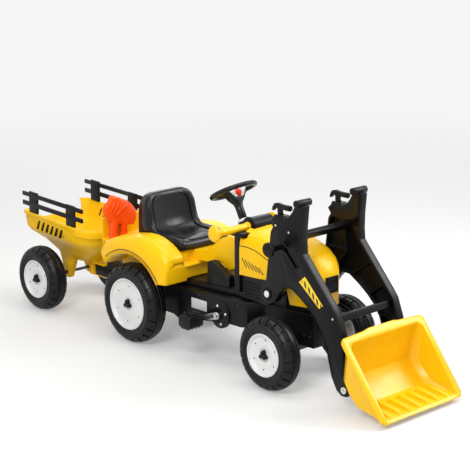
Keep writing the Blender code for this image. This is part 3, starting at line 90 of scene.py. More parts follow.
# the floor glows faintly to the camera, more so far away, so that it runs into the pale air
ground = paint.nodes.new("ShaderNodeTexCoord")
spread = paint.nodes.new("ShaderNodeVectorMath")
spread.operation = "LENGTH"
paint.links.new(ground.outputs["Object"], spread.inputs[0])
fade = paint.nodes.new("ShaderNodeMapRange")
fade.interpolation_type = "SMOOTHSTEP"
for socket, value in GLOW_FADE:
    fade.inputs[socket].default_value = value
paint.links.new(spread.outputs["Value"], fade.inputs["Value"])
ray = paint.nodes.new("ShaderNodeLightPath")
direct = paint.nodes.new("ShaderNodeMath")
direct.operation = "MAXIMUM"
paint.links.new(ray.outputs["Is Camera Ray"], direct.inputs[0])
paint.links.new(ray.outputs["Is Glossy Ray"], direct.inputs[1])
share = paint.nodes.new("ShaderNodeMath")
share.operation = "MULTIPLY"
paint.links.new(fade.outputs["Result"], share.inputs[0])
paint.links.new(direct.outputs["Value"], share.inputs[1])
glow = paint.nodes.new("ShaderNodeEmission")
glow.inputs["Color"].default_value = GLOW_TONE
both = paint.nodes.new("ShaderNodeMixShader")
paint.links.new(share.outputs["Value"], both.inputs["Fac"])
paint.links.new(coat_of_paint.outputs["BSDF"], both.inputs[1])
paint.links.new(glow.outputs["Emission"], both.inputs[2])
paint.links.new(both.outputs["Shader"], paint.nodes["Material Output"].inputs["Surface"])

for name, spot, size, watts in LAMPS:
    bpy.ops.object.light_add(type="AREA", location=spot)
    lamp = bpy.context.object
    lamp.name = name + "_lamp"
    lamp.data.size = size
    lamp.data.energy = watts
    lamp.rotation_euler = (LAMPS_AIM - Vector(spot)).to_track_quat("-Z", "Y").to_euler()

world = bpy.data.worlds.new("studio_air")
bpy.context.scene.world = world
world.use_nodes = True
air = world.node_tree
sky = air.nodes["Background"]
sky.inputs["Color"].default_value = (1.0, 1.0, 1.0, 1.0)
path = air.nodes.new("ShaderNodeLightPath")
seen = air.nodes.new("ShaderNodeMath")
seen.operation = "MAXIMUM"
air.links.new(path.outputs["Is Camera Ray"], seen.inputs[0])
air.links.new(path.outputs["Is Glossy Ray"], seen.inputs[1])
seen_through = air.nodes.new("ShaderNodeMath")
seen_through.operation = "MAXIMUM"
air.links.new(seen.outputs[0], seen_through.inputs[0])
air.links.new(path.outputs["Is Transmission Ray"], seen_through.inputs[1])
level = air.nodes.new("ShaderNodeMapRange")
level.inputs["To Min"].default_value = AIR_ON_TOY
level.inputs["To Max"].default_value = AIR_SEEN
air.links.new(seen_through.outputs[0], level.inputs["Value"])
air.links.new(level.outputs[0], sky.inputs["Strength"])
bpy.context.scene.view_settings.view_transform = "Standard"


# Black mouldings. The chassis, deck, loader arms, trailer rails, pedals and wheel caps are moulded
# in black plastic, with their edges broken by a small radius. The melt leaves it cloudy in tone and
# faintly streaked, with a fine pebble in the gloss; its edges are lightened as a painted highlight, and use
# dusts its top faces.
WELD = 0.00002                    # points nearer than this are one
FLAT_WITHIN = radians(0.6)        # faces that lie this near to one plane are one face
# the edge colour is the body colour times the first plus the second: a painted highlight on the edges
EDGE_HIGHLIGHT_BY = (1.12, 1.12, 1.12)
EDGE_HIGHLIGHT_LIFT = (0.010, 0.010, 0.010)
DUST_TONE = (0.42, 0.39, 0.33, 1.0)
DUST_MOST = 0.035
COAT_GLOSS = 0.12
BLACK_NODES = ("chassis_shell", "chassis_deck", "dash_panel", "column_socket", "hitch_bracket", "grille",
               "arm_right", "arm_left", "crossbar_upper", "crossbar_lower", "lever_right", "lever_left",
               "peg_handle", "pedal_right", "pedal_left", "rail_right", "rail_left", "hand_bar_drum",
               "front_cap_right", "front_cap_left", "rear_cap_right", "rear_cap_left", "cart_cap_right",
               "cart_cap_left")
SLOT_OF = {row["node"]: row["material_slot"] for row in frame["record"]["subparts"]}


def feed(tree, socket, value):
    # a socket is linked, a plain value is set
    if isinstance(value, bpy.types.NodeSocket):
        tree.links.new(value, socket)
    else:
        socket.default_value = value


def add(tree, kind, **values):
    node = tree.nodes.new("ShaderNode" + kind)
    for key, value in values.items():
        if hasattr(node, key):
            setattr(node, key, value)
        else:
            feed(tree, node.inputs[key.replace("_", " ")], value)
    return node


def work(tree, kind, operation, *values):
    # one Math or VectorMath node, fed by sockets or plain values in order
    node = tree.nodes.new("ShaderNode" + kind)
    node.operation = operation
    for socket, value in zip(node.inputs, values):
        feed(tree, socket, value)
    return node.outputs["Value" if operation in ("DOT_PRODUCT", "LENGTH") or kind == "Math" else "Vector"]


def ramp(tree, value, low, high, to_low, to_high):
    node = add(tree, "MapRange", From_Min=low, From_Max=high, To_Min=to_low, To_Max=to_high)
    tree.links.new(value, node.inputs["Value"])
    return node.outputs[0]


def blend_colour(tree, share, first, second):
    node = tree.nodes.new("ShaderNodeMix")
    node.data_type = "RGBA"
    for number, value in ((0, share), (6, first), (7, second)):
        feed(tree, node.inputs[number], value)
    return node.outputs[2]


def new_group(name, inputs, outputs):
    tree = bpy.data.node_groups.new(name, "ShaderNodeTree")
    for label, kind in inputs:
        tree.interface.new_socket(name=label, in_out="INPUT", socket_type="NodeSocket" + kind)
    for label, kind in outputs:
        tree.interface.new_socket(name=label, in_out="OUTPUT", socket_type="NodeSocket" + kind)
    return tree, tree.nodes.new("NodeGroupInput").outputs, tree.nodes.new("NodeGroupOutput").inputs


# the group's fifth input sets how far the edges are lightened, a painted highlight
moulding, given, result = new_group(
    "moulding",
    (("Colour", "Color"), ("Mottle", "Float"), ("Gloss", "Float"), ("Grain", "Float"), ("Edge highlight", "Float"),
     ("Round", "Float")),
    (("Colour", "Color"), ("Roughness", "Float"), ("Normal", "Vector")))
place = add(moulding, "TexCoord").outputs["Object"]
cloud = add(moulding, "TexNoise", Vector=place, Scale=5.5, Detail=4.0).outputs["Fac"]
stretched = add(moulding, "Mapping", Vector=place, Scale=(1.0, 1.0, 0.3)).outputs["Vector"]
flow = add(moulding, "TexNoise", Vector=stretched, Scale=34.0, Detail=3.0).outputs["Fac"]
pebble = add(moulding, "TexNoise", Vector=place, Scale=850.0, Detail=1.0).outputs["Fac"]
facing = add(moulding, "NewGeometry").outputs["Normal"]
rounded = add(moulding, "Bevel", samples=6, Radius=given["Round"]).outputs["Normal"]
# painted highlight where the rounded surface turns away from the face's own
edge = work(moulding, "VectorMath", "DOT_PRODUCT", facing, rounded)
edge = work(moulding, "Math", "MULTIPLY", ramp(moulding, edge, 0.985, 0.80, 0.0, 1.0), given["Edge highlight"])
cloudy = ramp(moulding, cloud, 0.3, 0.7, -1.0, 0.6)
tone = work(moulding, "Math", "MULTIPLY_ADD", cloudy, given["Mottle"], 1.0)
tinted = work(moulding, "VectorMath", "MULTIPLY", given["Colour"], tone)
# a lighter copy of the colour for the edges, a painted highlight
edge_highlit = work(moulding, "VectorMath", "MULTIPLY_ADD", tinted, EDGE_HIGHLIGHT_BY, EDGE_HIGHLIGHT_LIFT)
body_colour = blend_colour(moulding, edge, tinted, edge_highlit)
# dust in thin patches on what looks up
upturned = add(moulding, "SeparateXYZ", Vector=facing).outputs["Z"]
patches = add(moulding, "TexNoise", Vector=place, Scale=16.0, Detail=5.0).outputs["Fac"]
dust = work(moulding, "Math", "MULTIPLY", ramp(moulding, upturned, 0.60, 1.0, 0.0, DUST_MOST),
            ramp(moulding, patches, 0.42, 0.66, 0.0, 1.0))
moulding.links.new(blend_colour(moulding, dust, body_colour, DUST_TONE), result["Colour"])
gloss = work(moulding, "Math", "ADD", given["Gloss"], ramp(moulding, flow, 0.3, 0.7, -0.05, 0.07))
gloss = work(moulding, "Math", "MULTIPLY_ADD", dust, 1.2, gloss)
moulding.links.new(work(moulding, "Math", "MULTIPLY_ADD", edge, 0.10, gloss), result["Roughness"])
relief = work(moulding, "Math", "MULTIPLY_ADD", flow, 0.6, pebble)
skin = add(moulding, "Bump", Distance=0.0003, Height=relief, Normal=rounded, Strength=given["Grain"])
moulding.links.new(skin.outputs["Normal"], result["Normal"])


# the fifth argument sets how far the edges are lightened, a painted highlight
def plastic(name, colour, mottle, gloss, grain, edge_highlight, coat=0.0, shine=0.5, round_by=0.0014):
    finish = bpy.data.materials.new(name)
    finish.use_nodes = True
    tree = finish.node_tree
    shader = tree.nodes["Principled BSDF"]
    mould = tree.nodes.new("ShaderNodeGroup")
    mould.node_tree = moulding
    for key, value in (("Colour", (*colour, 1.0)), ("Mottle", mottle), ("Gloss", gloss), ("Grain", grain),
                       ("Edge highlight", edge_highlight), ("Round", round_by)):
        mould.inputs[key].default_value = value
    tree.links.new(mould.outputs["Colour"], shader.inputs["Base Color"])
    tree.links.new(mould.outputs["Roughness"], shader.inputs["Roughness"])
    tree.links.new(mould.outputs["Normal"], shader.inputs["Normal"])
    shader.inputs["Coat Weight"].default_value = coat
    shader.inputs["Coat Roughness"].default_value = COAT_GLOSS
    shader.inputs["Specular IOR Level"].default_value = shine
    return finish


def keep_only(piece):
    bpy.ops.object.select_all(action="DESELECT")
    piece.select_set(True)
    bpy.context.view_layer.objects.active = piece


def settle(piece, body, slot_name, *nodes):
    piece.data.name = piece.name
    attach(piece, body)
    if nodes:
        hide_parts(*nodes)


def body_with(node):
    return next(body for body, members in frame["record"]["behaviour"]["bodies"].items() if node in members)


def round_edges(piece, width, angle, segments=2):
    # rounds the edges of the selected piece that are sharper than the angle
    soften = piece.modifiers.new("edges", "BEVEL")
    soften.width = width
    soften.segments = segments
    soften.limit_method = "ANGLE"
    soften.angle_limit = radians(angle)
    bpy.ops.object.modifier_apply(modifier="edges")


def from_frame(node, finish, radius=0.0008, angle=34.0, voxel=0.0):
    # the node's own form, welded from its loose triangles and its flat faces made whole again
    piece = bpy.data.objects.new(node + "_skin", frame["nodes"][node].data.copy())
    bpy.context.scene.collection.objects.link(piece)
    piece.data.materials.clear()
    piece.data.materials.append(finish)
    keep_only(piece)
    bpy.ops.object.mode_set(mode="EDIT")
    bpy.ops.mesh.select_all(action="SELECT")
    bpy.ops.mesh.remove_doubles(threshold=WELD)
    if radius > 0:
        bpy.ops.mesh.dissolve_limited(angle_limit=FLAT_WITHIN)
    bpy.ops.object.mode_set(mode="OBJECT")
    if radius > 0:
        round_edges(piece, radius, angle)
    if voxel > 0:
        # blown in one piece: every edge of the shell runs out soft
        even = piece.modifiers.new("even", "REMESH")
        even.mode = "VOXEL"
        even.voxel_size = voxel
        bpy.ops.object.modifier_apply(modifier="even")
        calm = piece.modifiers.new("calm", "SMOOTH")
        calm.factor = 0.5
        calm.iterations = 9
        bpy.ops.object.modifier_apply(modifier="calm")
    bpy.ops.object.shade_smooth_by_angle(angle=radians(angle))
    settle(piece, body_with(node), SLOT_OF[node], node)


black = plastic("black_moulding", (0.0034, 0.0034, 0.0040), 0.22, 0.32, 0.14, 0.8, shine=0.19)
for node in BLACK_NODES:
    from_frame(node, black)


# Steel parts. The crank, the rear axle, the hitch pin and the bolts are zinc-plated, with fine drawn
# scratches; the front axle, its knuckles, the track rod, the trailer axle and the small screws are
# painted black.
DRAWN_OUT = (60.0, 900.0, 900.0)
DULLED = 0.72


def metal(name, colour, gloss, scratch, metallic):
    finish = bpy.data.materials.new(name)
    finish.use_nodes = True
    tree = finish.node_tree
    shader = tree.nodes["Principled BSDF"]
    spot = add(tree, "TexCoord").outputs["Object"]
    streaked = add(tree, "Mapping", Vector=spot, Scale=DRAWN_OUT).outputs["Vector"]
    lines = add(tree, "TexNoise", Vector=streaked, Scale=1.0, Detail=3.0).outputs["Fac"]
    bloom = add(tree, "TexNoise", Vector=spot, Scale=48.0, Detail=4.0).outputs["Fac"]
    clouded = ramp(tree, bloom, 0.35, 0.65, 0.0, 1.0)
    dull = tuple(DULLED * c for c in colour)
    tree.links.new(blend_colour(tree, clouded, (*colour, 1.0), (*dull, 1.0)), shader.inputs["Base Color"])
    tree.links.new(ramp(tree, lines, 0.3, 0.7, gloss - 0.06, gloss + 0.12), shader.inputs["Roughness"])
    bump = add(tree, "Bump", Distance=0.0002, Strength=scratch, Height=lines)
    tree.links.new(bump.outputs["Normal"], shader.inputs["Normal"])
    shader.inputs["Metallic"].default_value = metallic
    return finish


bright_steel = metal("zinc_plate", (0.68, 0.68, 0.69), 0.26, 0.15, 1.0)
dark_steel = metal("painted_steel", (0.022, 0.022, 0.024), 0.38, 0.10, 0.0)
for node in ("front_axle_beam", "knuckle_right", "knuckle_left", "tie_rod", "trailer_axle"):
    from_frame(node, dark_steel)
for node in ("crank", "rear_axle", "hitch_pin"):
    from_frame(node, bright_steel)


# Chassis sides. The two halves of the black chassis are screwed together, and four bright bolts hold
# each chain guard. The right side carries a bare pale plate below the seat.
OUTWARD = (0, -1, 0)              # out of the right side
GUARD_AT = (0.1440, 0.1680)
GUARD_RING = 0.0300
GUARD_FACE = 0.1280
GUARD_TURN = 16.0
SIDE_FACE = 0.1200
SIDE_SCREWS = ((0.1205, 0.2050), (0.0420, 0.2120), (0.2200, 0.2150), (-0.0350, 0.1350))
NOSE_FACE = 0.0625
NOSE_Z = 0.1600
PLATE = ((0.0020, 0.1615), (0.0760, 0.1615), (0.0760, 0.1960), (0.0020, 0.1960))
PLATE_SUNK = 0.0001
PLATE_THICK = 0.0011
# radius and height of each head
GUARD_BOLT = (0.0052, 0.0030)
SIDE_SCREW = (0.0034, 0.0016)
NOSE_SCREW = (0.0034, 0.0014)


def opposite(piece, name):
    # the same piece for the toy's left side, with its own mesh
    copy = bpy.data.objects.new(name, piece.data.copy())
    bpy.context.scene.collection.objects.link(copy)
    copy.data.transform(Matrix.Diagonal((1.0, -1.0, 1.0, 1.0)))
    copy.data.flip_normals()
    return copy


def settle_both(piece, left_name, body, slot_name):
    left = opposite(piece, left_name)
    settle(piece, body, slot_name)
    settle(left, body, slot_name)


def gather(name, pieces):
    # one object out of several that sit on the same moving part
    keep_only(pieces[0])
    for piece in pieces[1:]:
        piece.select_set(True)
    bpy.ops.object.join()
    pieces[0].name = name
    return pieces[0]


def modelled(name, finish):
    piece = bpy.context.object
    piece.name = name
    piece.data.materials.clear()
    piece.data.materials.append(finish)
    return piece


def drawn(points, closed=False):
    # a line of edges extruded from point to point, left open for editing
    bpy.ops.object.select_all(action="DESELECT")
    bpy.ops.mesh.primitive_plane_add(size=0.001, location=points[0])
    bpy.ops.object.transform_apply(location=True, rotation=True, scale=True)
    bpy.ops.object.mode_set(mode="EDIT")
    bpy.ops.mesh.select_mode(type="VERT")
    bpy.ops.mesh.select_all(action="SELECT")
    bpy.ops.mesh.merge(type="CENTER")
    for last, point in zip(points, points[1:]):
        bpy.ops.mesh.extrude_region_move(TRANSFORM_OT_translate={"value": point - last})
    if closed:
        bpy.ops.mesh.extrude_region_move(TRANSFORM_OT_translate={"value": points[0] - points[-1]})
    bpy.ops.mesh.select_all(action="SELECT")
    bpy.ops.mesh.remove_doubles(threshold=WELD)
    bpy.ops.mesh.select_all(action="SELECT")


def finish_editing():
    # welds the mesh that is open for editing and turns its faces outwards
    bpy.ops.mesh.select_all(action="SELECT")
    bpy.ops.mesh.remove_doubles(threshold=WELD)
    bpy.ops.mesh.normals_make_consistent(inside=False)
    bpy.ops.object.mode_set(mode="OBJECT")


def spun(name, finish, outline, centre, axis, steps, closed=False, angle=34.0):
    # the outline's (radius, height) points drawn beside the axis and spun round it
    axis = Vector(axis).normalized()
    side = axis.orthogonal().normalized()
    drawn([Vector(centre) + side * r + axis * h for r, h in outline], closed)
    bpy.ops.mesh.spin(steps=steps, angle=2 * pi, center=centre, axis=axis)
    finish_editing()
    piece = modelled(name, finish)
    bpy.ops.object.shade_smooth_by_angle(angle=radians(angle))
    return piece


def screw(name, finish, spot, radius, height):
    # pan head with a recess in the middle
    outline = [(0.0, height * 0.55), (radius * 0.32, height * 0.55), (radius * 0.40, height),
               (radius * 0.72, height * 0.92), (radius * 0.96, height * 0.45), (radius, 0.0),
               (radius * 0.9, -0.0012), (0.0, -0.0012)]
    return spun(name, finish, outline, Vector(spot), OUTWARD, 14, angle=40.0)


def slab(name, finish, points, thickness, radius=0.0):
    # a flat outline filled, drawn out to its thickness and its edges rounded
    drawn([Vector(point) for point in points], closed=True)
    bpy.ops.mesh.edge_face_add()
    bpy.ops.mesh.select_all(action="SELECT")
    bpy.ops.mesh.extrude_region_move(TRANSFORM_OT_translate={"value": thickness})
    finish_editing()
    piece = modelled(name, finish)
    if radius > 0:
        round_edges(piece, radius, 40.0)
    bpy.ops.object.shade_smooth_by_angle(angle=radians(34.0))
    return piece


sides = []
for quarter in range(4):
    turn = radians(GUARD_TURN + 90.0 * quarter)
    spot = (GUARD_AT[0] + GUARD_RING * cos(turn), -GUARD_FACE, GUARD_AT[1] + GUARD_RING * sin(turn))
    sides.append(screw(f"guard_bolt_{quarter}", bright_steel, spot, *GUARD_BOLT))
for count, (x, z) in enumerate(SIDE_SCREWS):
    sides.append(screw(f"side_screw_{count}", dark_steel, (x, -SIDE_FACE, z), *SIDE_SCREW))
for count, x in enumerate((0.4600, 0.4850)):
    sides.append(screw(f"nose_screw_{count}", dark_steel, (x, -NOSE_FACE, NOSE_Z), *NOSE_SCREW))
settle_both(gather("chassis_bolts_right", sides), "chassis_bolts_left", "tractor", "steel")

plate_white = plastic("plate_white", (0.60, 0.60, 0.60), 0.06, 0.40, 0.10, 0.2)
plate_line = [(x, -SIDE_FACE + PLATE_SUNK, z) for x, z in PLATE]
side_plate = slab("side_plate", plate_white, plate_line, (0, -PLATE_THICK, 0), radius=0.0004)
settle(side_plate, "tractor", "white")


# Rear body. One yellow blow moulding with two fenders, the seat floor and the tunnel to the dash,
# set over the chassis. A thin black line is printed along each wheel arch, and the wheel well has a
# thin wall of its own, flared out to the arch.
SUN_YELLOW = (0.93, 0.53, 0.003)
INK = (0.012, 0.012, 0.014)
ARCH_AT = (-0.2340, 0.1370)
ARCH_LINE = 0.1850                # radius of the printed line
FENDER_FACE = 0.1850              # the line is printed only further out than this
LINE_REAR = -0.1200               # ends of the line, from the wheel's axle
LINE_FRONT = 0.1520
FADE = 0.0005
WELL = ((-0.0870, 0.1680), (-0.1860, 0.1700), (-0.1935, 0.1740), (-0.1980, 0.1786))
WELL_FROM = radians(33.0)
WELL_TURN = radians(103.0)
WELL_WALL = 0.0024


def printed(finish, mask, ink):
    # the ink over the moulding's own colour, where the mask is 1
    tree = finish.node_tree
    shader = tree.nodes["Principled BSDF"]
    under = shader.inputs["Base Color"].links[0].from_socket
    tree.links.new(blend_colour(tree, mask, under, (*ink, 1.0)), shader.inputs["Base Color"])


def give_wall(piece, thickness):
    # thickens an open sheet by the same amount to both sides
    wall = piece.modifiers.new("wall", "SOLIDIFY")
    wall.thickness = thickness
    wall.offset = 0.0
    bpy.ops.object.modifier_apply(modifier="wall")


fender_yellow = plastic("fender_moulding", SUN_YELLOW, 0.06, 0.30, 0.08, 0.0, 0.08, 0.20, 0.0070)
tree = fender_yellow.node_tree
place = add(tree, "TexCoord").outputs["Object"]
arch = work(tree, "VectorMath", "SUBTRACT", place, (ARCH_AT[0], 0.0, ARCH_AT[1]))
spoke = work(tree, "VectorMath", "LENGTH", work(tree, "VectorMath", "MULTIPLY", arch, (1.0, 0.0, 1.0)))
off_line = work(tree, "Math", "ABSOLUTE", work(tree, "Math", "SUBTRACT", spoke, ARCH_LINE))
line_mask = ramp(tree, off_line, 0.0014, 0.0018, 1.0, 0.0)
parts = add(tree, "SeparateXYZ", Vector=arch)
far_out = work(tree, "Math", "ABSOLUTE", parts.outputs["Y"])
outer = ramp(tree, far_out, FENDER_FACE, FENDER_FACE + 0.0002, 0.0, 1.0)
front_end = ramp(tree, parts.outputs["X"], LINE_FRONT, LINE_FRONT + FADE, 1.0, 0.0)
rear_end = ramp(tree, parts.outputs["X"], LINE_REAR, LINE_REAR + FADE, 0.0, 1.0)
ends = work(tree, "Math", "MULTIPLY", front_end, rear_end)
on_face = work(tree, "Math", "MULTIPLY", line_mask, outer)
printed(fender_yellow, work(tree, "Math", "MULTIPLY", on_face, ends), INK)
from_frame("seat_body", fender_yellow, radius=0.0, angle=60.0, voxel=0.0022)

drawn([Vector((ARCH_AT[0] + r * cos(WELL_FROM), y, ARCH_AT[1] + r * sin(WELL_FROM))) for y, r in WELL])
bpy.ops.mesh.spin(steps=26, angle=WELL_TURN, center=(ARCH_AT[0], 0.0, ARCH_AT[1]), axis=(0, 1, 0))
finish_editing()
well = modelled("wheel_well_right", fender_yellow)
give_wall(well, WELL_WALL)
bpy.ops.object.shade_smooth_by_angle(angle=radians(45.0))
settle_both(well, "wheel_well_left", "tractor", "yellow")


# Hood. A thin yellow shell set over the ribbed block. A black line is printed down each side over
# six slanted louvres behind the loader arm, and seven thin black bars cross the grille.
HOOD_LINE = ((0.2170, 0.4085), (0.2500, 0.4090), (0.2834, 0.4031), (0.3421, 0.3760), (0.3594, 0.3674))
HOOD_LINE_HALF = 0.0013
LOUVRES = [((0.2300 + 0.0134 * k, 0.3705 - 0.0042 * k), (0.2475 + 0.0134 * k, 0.3440 - 0.0026 * k))
           for k in range(6)]
LOUVRE_HALF = 0.0017
LOUVRE_TONE = (0.018, 0.014, 0.008)
GRILLE_X = 0.5172
GRILLE_HALF = 0.0245
GRILLE_FOOT = 0.3000
BAR_STEP = 0.0072
BAR_HIGH = 0.0028
BAR_OUT = 0.0016

strip, given, result = new_group("strip", (("From", "Vector"), ("To", "Vector"), ("Half", "Float")),
                                 (("Mask", "Float"),))
flat = work(strip, "VectorMath", "MULTIPLY", add(strip, "TexCoord").outputs["Object"], (1.0, 0.0, 1.0))
reach = work(strip, "VectorMath", "SUBTRACT", flat, given["From"])
length = work(strip, "VectorMath", "SUBTRACT", given["To"], given["From"])
along = work(strip, "Math", "DIVIDE", work(strip, "VectorMath", "DOT_PRODUCT", reach, length),
             work(strip, "VectorMath", "DOT_PRODUCT", length, length))
along.node.use_clamp = True
nearest = strip.nodes.new("ShaderNodeVectorMath")
nearest.operation = "SCALE"
strip.links.new(length, nearest.inputs[0])
strip.links.new(along, nearest.inputs["Scale"])
away = work(strip, "VectorMath", "LENGTH", work(strip, "VectorMath", "SUBTRACT", reach, nearest.outputs[0]))
outside = work(strip, "Math", "SUBTRACT", away, given["Half"])
strip.links.new(ramp(strip, outside, 0.0, 0.0005, 1.0, 0.0), result["Mask"])


def strips(finish, lines, half):
    # 1 along each line between two (x, z) points, as far as half to either side
    tree = finish.node_tree
    total = None
    for start, end in lines:
        node = tree.nodes.new("ShaderNodeGroup")
        node.node_tree = strip
        node.inputs["From"].default_value = (start[0], 0.0, start[1])
        node.inputs["To"].default_value = (end[0], 0.0, end[1])
        node.inputs["Half"].default_value = half
        mask = node.outputs["Mask"]
        total = mask if total is None else work(tree, "Math", "MAXIMUM", total, mask)
    return total


hood_yellow = plastic("hood_moulding", SUN_YELLOW, 0.06, 0.30, 0.08, 0.3, 0.06, 0.18, 0.0030)
printed(hood_yellow, strips(hood_yellow, list(zip(HOOD_LINE, HOOD_LINE[1:])), HOOD_LINE_HALF), INK)
printed(hood_yellow, strips(hood_yellow, LOUVRES, LOUVRE_HALF), LOUVRE_TONE)
from_frame("hood", hood_yellow)
bars = []
for k in range(7):
    low = GRILLE_FOOT + BAR_STEP * k
    bar_line = [(GRILLE_X, y, z) for y, z in ((-GRILLE_HALF, low), (GRILLE_HALF, low),
                                              (GRILLE_HALF, low + BAR_HIGH), (-GRILLE_HALF, low + BAR_HIGH))]
    bars.append(slab(f"grille_bar_{k}", black, bar_line, (BAR_OUT, 0, 0), radius=0.0006))
settle(gather("grille_bars", bars), "tractor", "black")


# Hand bar. One yellow moulding, round about its length: a knob on its right end, a thin neck that
# runs through the black drum, and a round plate near its left end.
BAR_AT = (0.2000, 0.0, 0.4580)
BAR_LINE = [(0.0, -0.2085), (0.0100, -0.2080), (0.0180, -0.2062), (0.0235, -0.2030), (0.0262, -0.1985),
            (0.0255, -0.1940), (0.0215, -0.1880), (0.0160, -0.1810), (0.0126, -0.1730), (0.0120, -0.1650),
            (0.0120, -0.0590), (0.0150, -0.0570), (0.0150, -0.0530), (0.0090, -0.0530), (0.0090, 0.0450),
            (0.0290, 0.0510), (0.0300, 0.0560), (0.0090, 0.0600), (0.0090, 0.0850), (0.0, 0.0850)]
yellow = plastic("yellow_shell", SUN_YELLOW, 0.06, 0.27, 0.08, 0.5, 0.10, 0.26, 0.0025)
hand_bar = spun("hand_bar_skin", yellow, BAR_LINE, BAR_AT, (0, 1, 0), 32)
settle(hand_bar, body_with("hand_bar"), "yellow", "hand_bar")


# Trailer tub. One yellow blow moulding on two legs, with a collar round its front under the rim.
# The six slanted slots in each side are backed with near-black sheets, painted shade for the inside of the
# slots.
SLOT_AT = (-0.7985, 0.3144)
SLOT_STEP = (0.0265, -0.0020)
SLOT_LINE = ((-0.0010, 0.0010), (-0.0164, -0.0310), (-0.0064, -0.0310), (0.0090, 0.0010))
SLOT_Y = -0.1395
SLOT_DEEP = 0.0068
SLOT_FLARE = 0.0001               # each slot reaches this much further out than the last
RIM_Z = 0.3400
RIM_FALL = 0.0500
RIM_REAR = -0.8650
COLLAR_DROP = 0.0012
COLLAR_HIGH = 0.0260
COLLAR_WALL = 0.0050
COLLAR = ((-0.5800, 0.1512), (-0.5560, 0.1462), (-0.5206, 0.1348), (-0.5000, 0.1075), (-0.4898, 0.0668),
          (-0.4843, 0.0300))


def rim_spot(x, y):
    return Vector((x, y, RIM_Z - RIM_FALL * (x - RIM_REAR) - COLLAR_DROP))


tub_yellow = plastic("tub_moulding", SUN_YELLOW, 0.06, 0.40, 0.08, 0.0, 0.02, 0.12, 0.0030)
# near-black and matt: painted shade behind the slots
slot_shade_black = plastic("slot_shadow", (0.0045, 0.0040, 0.0040), 0.10, 0.70, 0.05, 0.0, shine=0.15)
from_frame("trailer_tub", tub_yellow, radius=0.0, angle=40.0)
fills = []
for k in range(6):
    x = SLOT_AT[0] + SLOT_STEP[0] * k
    z = SLOT_AT[1] + SLOT_STEP[1] * k
    slot_line = [(x + along, SLOT_Y, z + up) for along, up in SLOT_LINE]
    deep = (0, -SLOT_DEEP - SLOT_FLARE * k, 0)
    fills.append(slab(f"slot_fill_{k}", slot_shade_black, slot_line, deep, radius=0.0004))
settle_both(gather("trailer_slot_fill_right", fills), "trailer_slot_fill_left", "trailer", "black")

drawn([rim_spot(x, -y) for x, y in COLLAR] + [rim_spot(x, y) for x, y in reversed(COLLAR)])
bpy.ops.mesh.extrude_region_move(TRANSFORM_OT_translate={"value": (0, 0, -COLLAR_HIGH)})
bpy.ops.object.mode_set(mode="OBJECT")
collar = modelled("tub_collar", tub_yellow)
give_wall(collar, COLLAR_WALL)
round_edges(collar, 0.0020, 50.0, segments=3)
bpy.ops.object.mode_set(mode="EDIT")
bpy.ops.mesh.select_all(action="SELECT")
bpy.ops.mesh.normals_make_consistent(inside=False)
bpy.ops.object.mode_set(mode="OBJECT")
bpy.ops.object.shade_smooth_by_angle(angle=radians(45.0))
settle(collar, "trailer", "yellow")


# Bucket. An open yellow moulding with a rolled rim round its mouth and ridges along its floor,
# hung on a bolt through the foot of each arm, inside a white bush.
MOUTH_TOP = Vector((0.7245, 0.0, 0.2270))
MOUTH_LIP = Vector((0.8880, 0.0, 0.0155))
ROLL = 0.0052
down_mouth = (MOUTH_LIP - MOUTH_TOP).normalized()
mouth_long = (MOUTH_LIP - MOUTH_TOP).length
# half the rim, from the lip up to the middle: distance from the middle plane, and down the mouth
HALF_RIM = ((0.1735, mouth_long - 0.0080), (0.1768, mouth_long - 0.0180), (0.1768, 0.0080), (0.1745, 0.0010),
            (0.1680, -0.0045), (0.0760, -0.0085), (0.0560, -0.0125))
RIDGE_STEP = 0.0425
RIDGE_LINE = ((0.7900, 0.0345), (0.8120, 0.0345), (0.8600, 0.0288), (0.8800, 0.0215), (0.8865, 0.0165))
RIDGE_ROUND = 0.0062
BUCKET_PIN = (0.7020, 0.0640)
BUSH_Y = -0.1440
BUSH_LINE = [(0.0062, 0.0), (0.0100, 0.0), (0.0106, 0.0012), (0.0096, 0.0022), (0.0070, 0.0022),
             (0.0062, 0.0014)]
BOLT_END = (0.0058, 0.0014)
BOLT_OUT = 0.0006


def bead(name, finish, points, radius, closed=False):
    # a round bar along a line, for raised borders and ridges
    drawn([Vector(point) for point in points], closed)
    bpy.ops.object.mode_set(mode="OBJECT")
    bpy.ops.object.convert(target="CURVE")
    line = bpy.context.object
    line.data.bevel_depth = radius
    line.data.bevel_resolution = 2
    line.data.use_fill_caps = not closed
    bpy.ops.object.convert(target="MESH")
    piece = modelled(name, finish)
    bpy.ops.object.mode_set(mode="EDIT")
    finish_editing()
    bpy.ops.object.shade_smooth_by_angle(angle=radians(50.0))
    return piece


from_frame("bucket", yellow, radius=0.0011)
rolled = []
for y, down in [(-y, down) for y, down in HALF_RIM] + list(reversed(HALF_RIM)):
    spot = MOUTH_TOP + down_mouth * down
    rolled.append((spot.x, y, spot.z))
settle(bead("bucket_rolled_rim", yellow, rolled, ROLL), "scoop", "yellow")
ridged = []
for k in range(7):
    y = (k - 3) * RIDGE_STEP
    ridged.append(bead(f"bucket_ridge_{k}", yellow, [(x, y, z) for x, z in RIDGE_LINE], RIDGE_ROUND))
settle(gather("bucket_ridges", ridged), "scoop", "yellow")
rim_white = plastic("rim_moulding", (0.72, 0.72, 0.715), 0.05, 0.36, 0.08, 0.2, 0.12)
bush_spot = (BUCKET_PIN[0], BUSH_Y, BUCKET_PIN[1])
bush = spun("bucket_bush", rim_white, BUSH_LINE, bush_spot, OUTWARD, 24, closed=True)
bolt_spot = (BUCKET_PIN[0], BUSH_Y - BOLT_OUT, BUCKET_PIN[1])
bolt_end = screw("bucket_bolt_end", bright_steel, bolt_spot, *BOLT_END)
settle_both(gather("bucket_pin_ring_right", [bush, bolt_end]), "bucket_pin_ring_left", "scoop", "white")


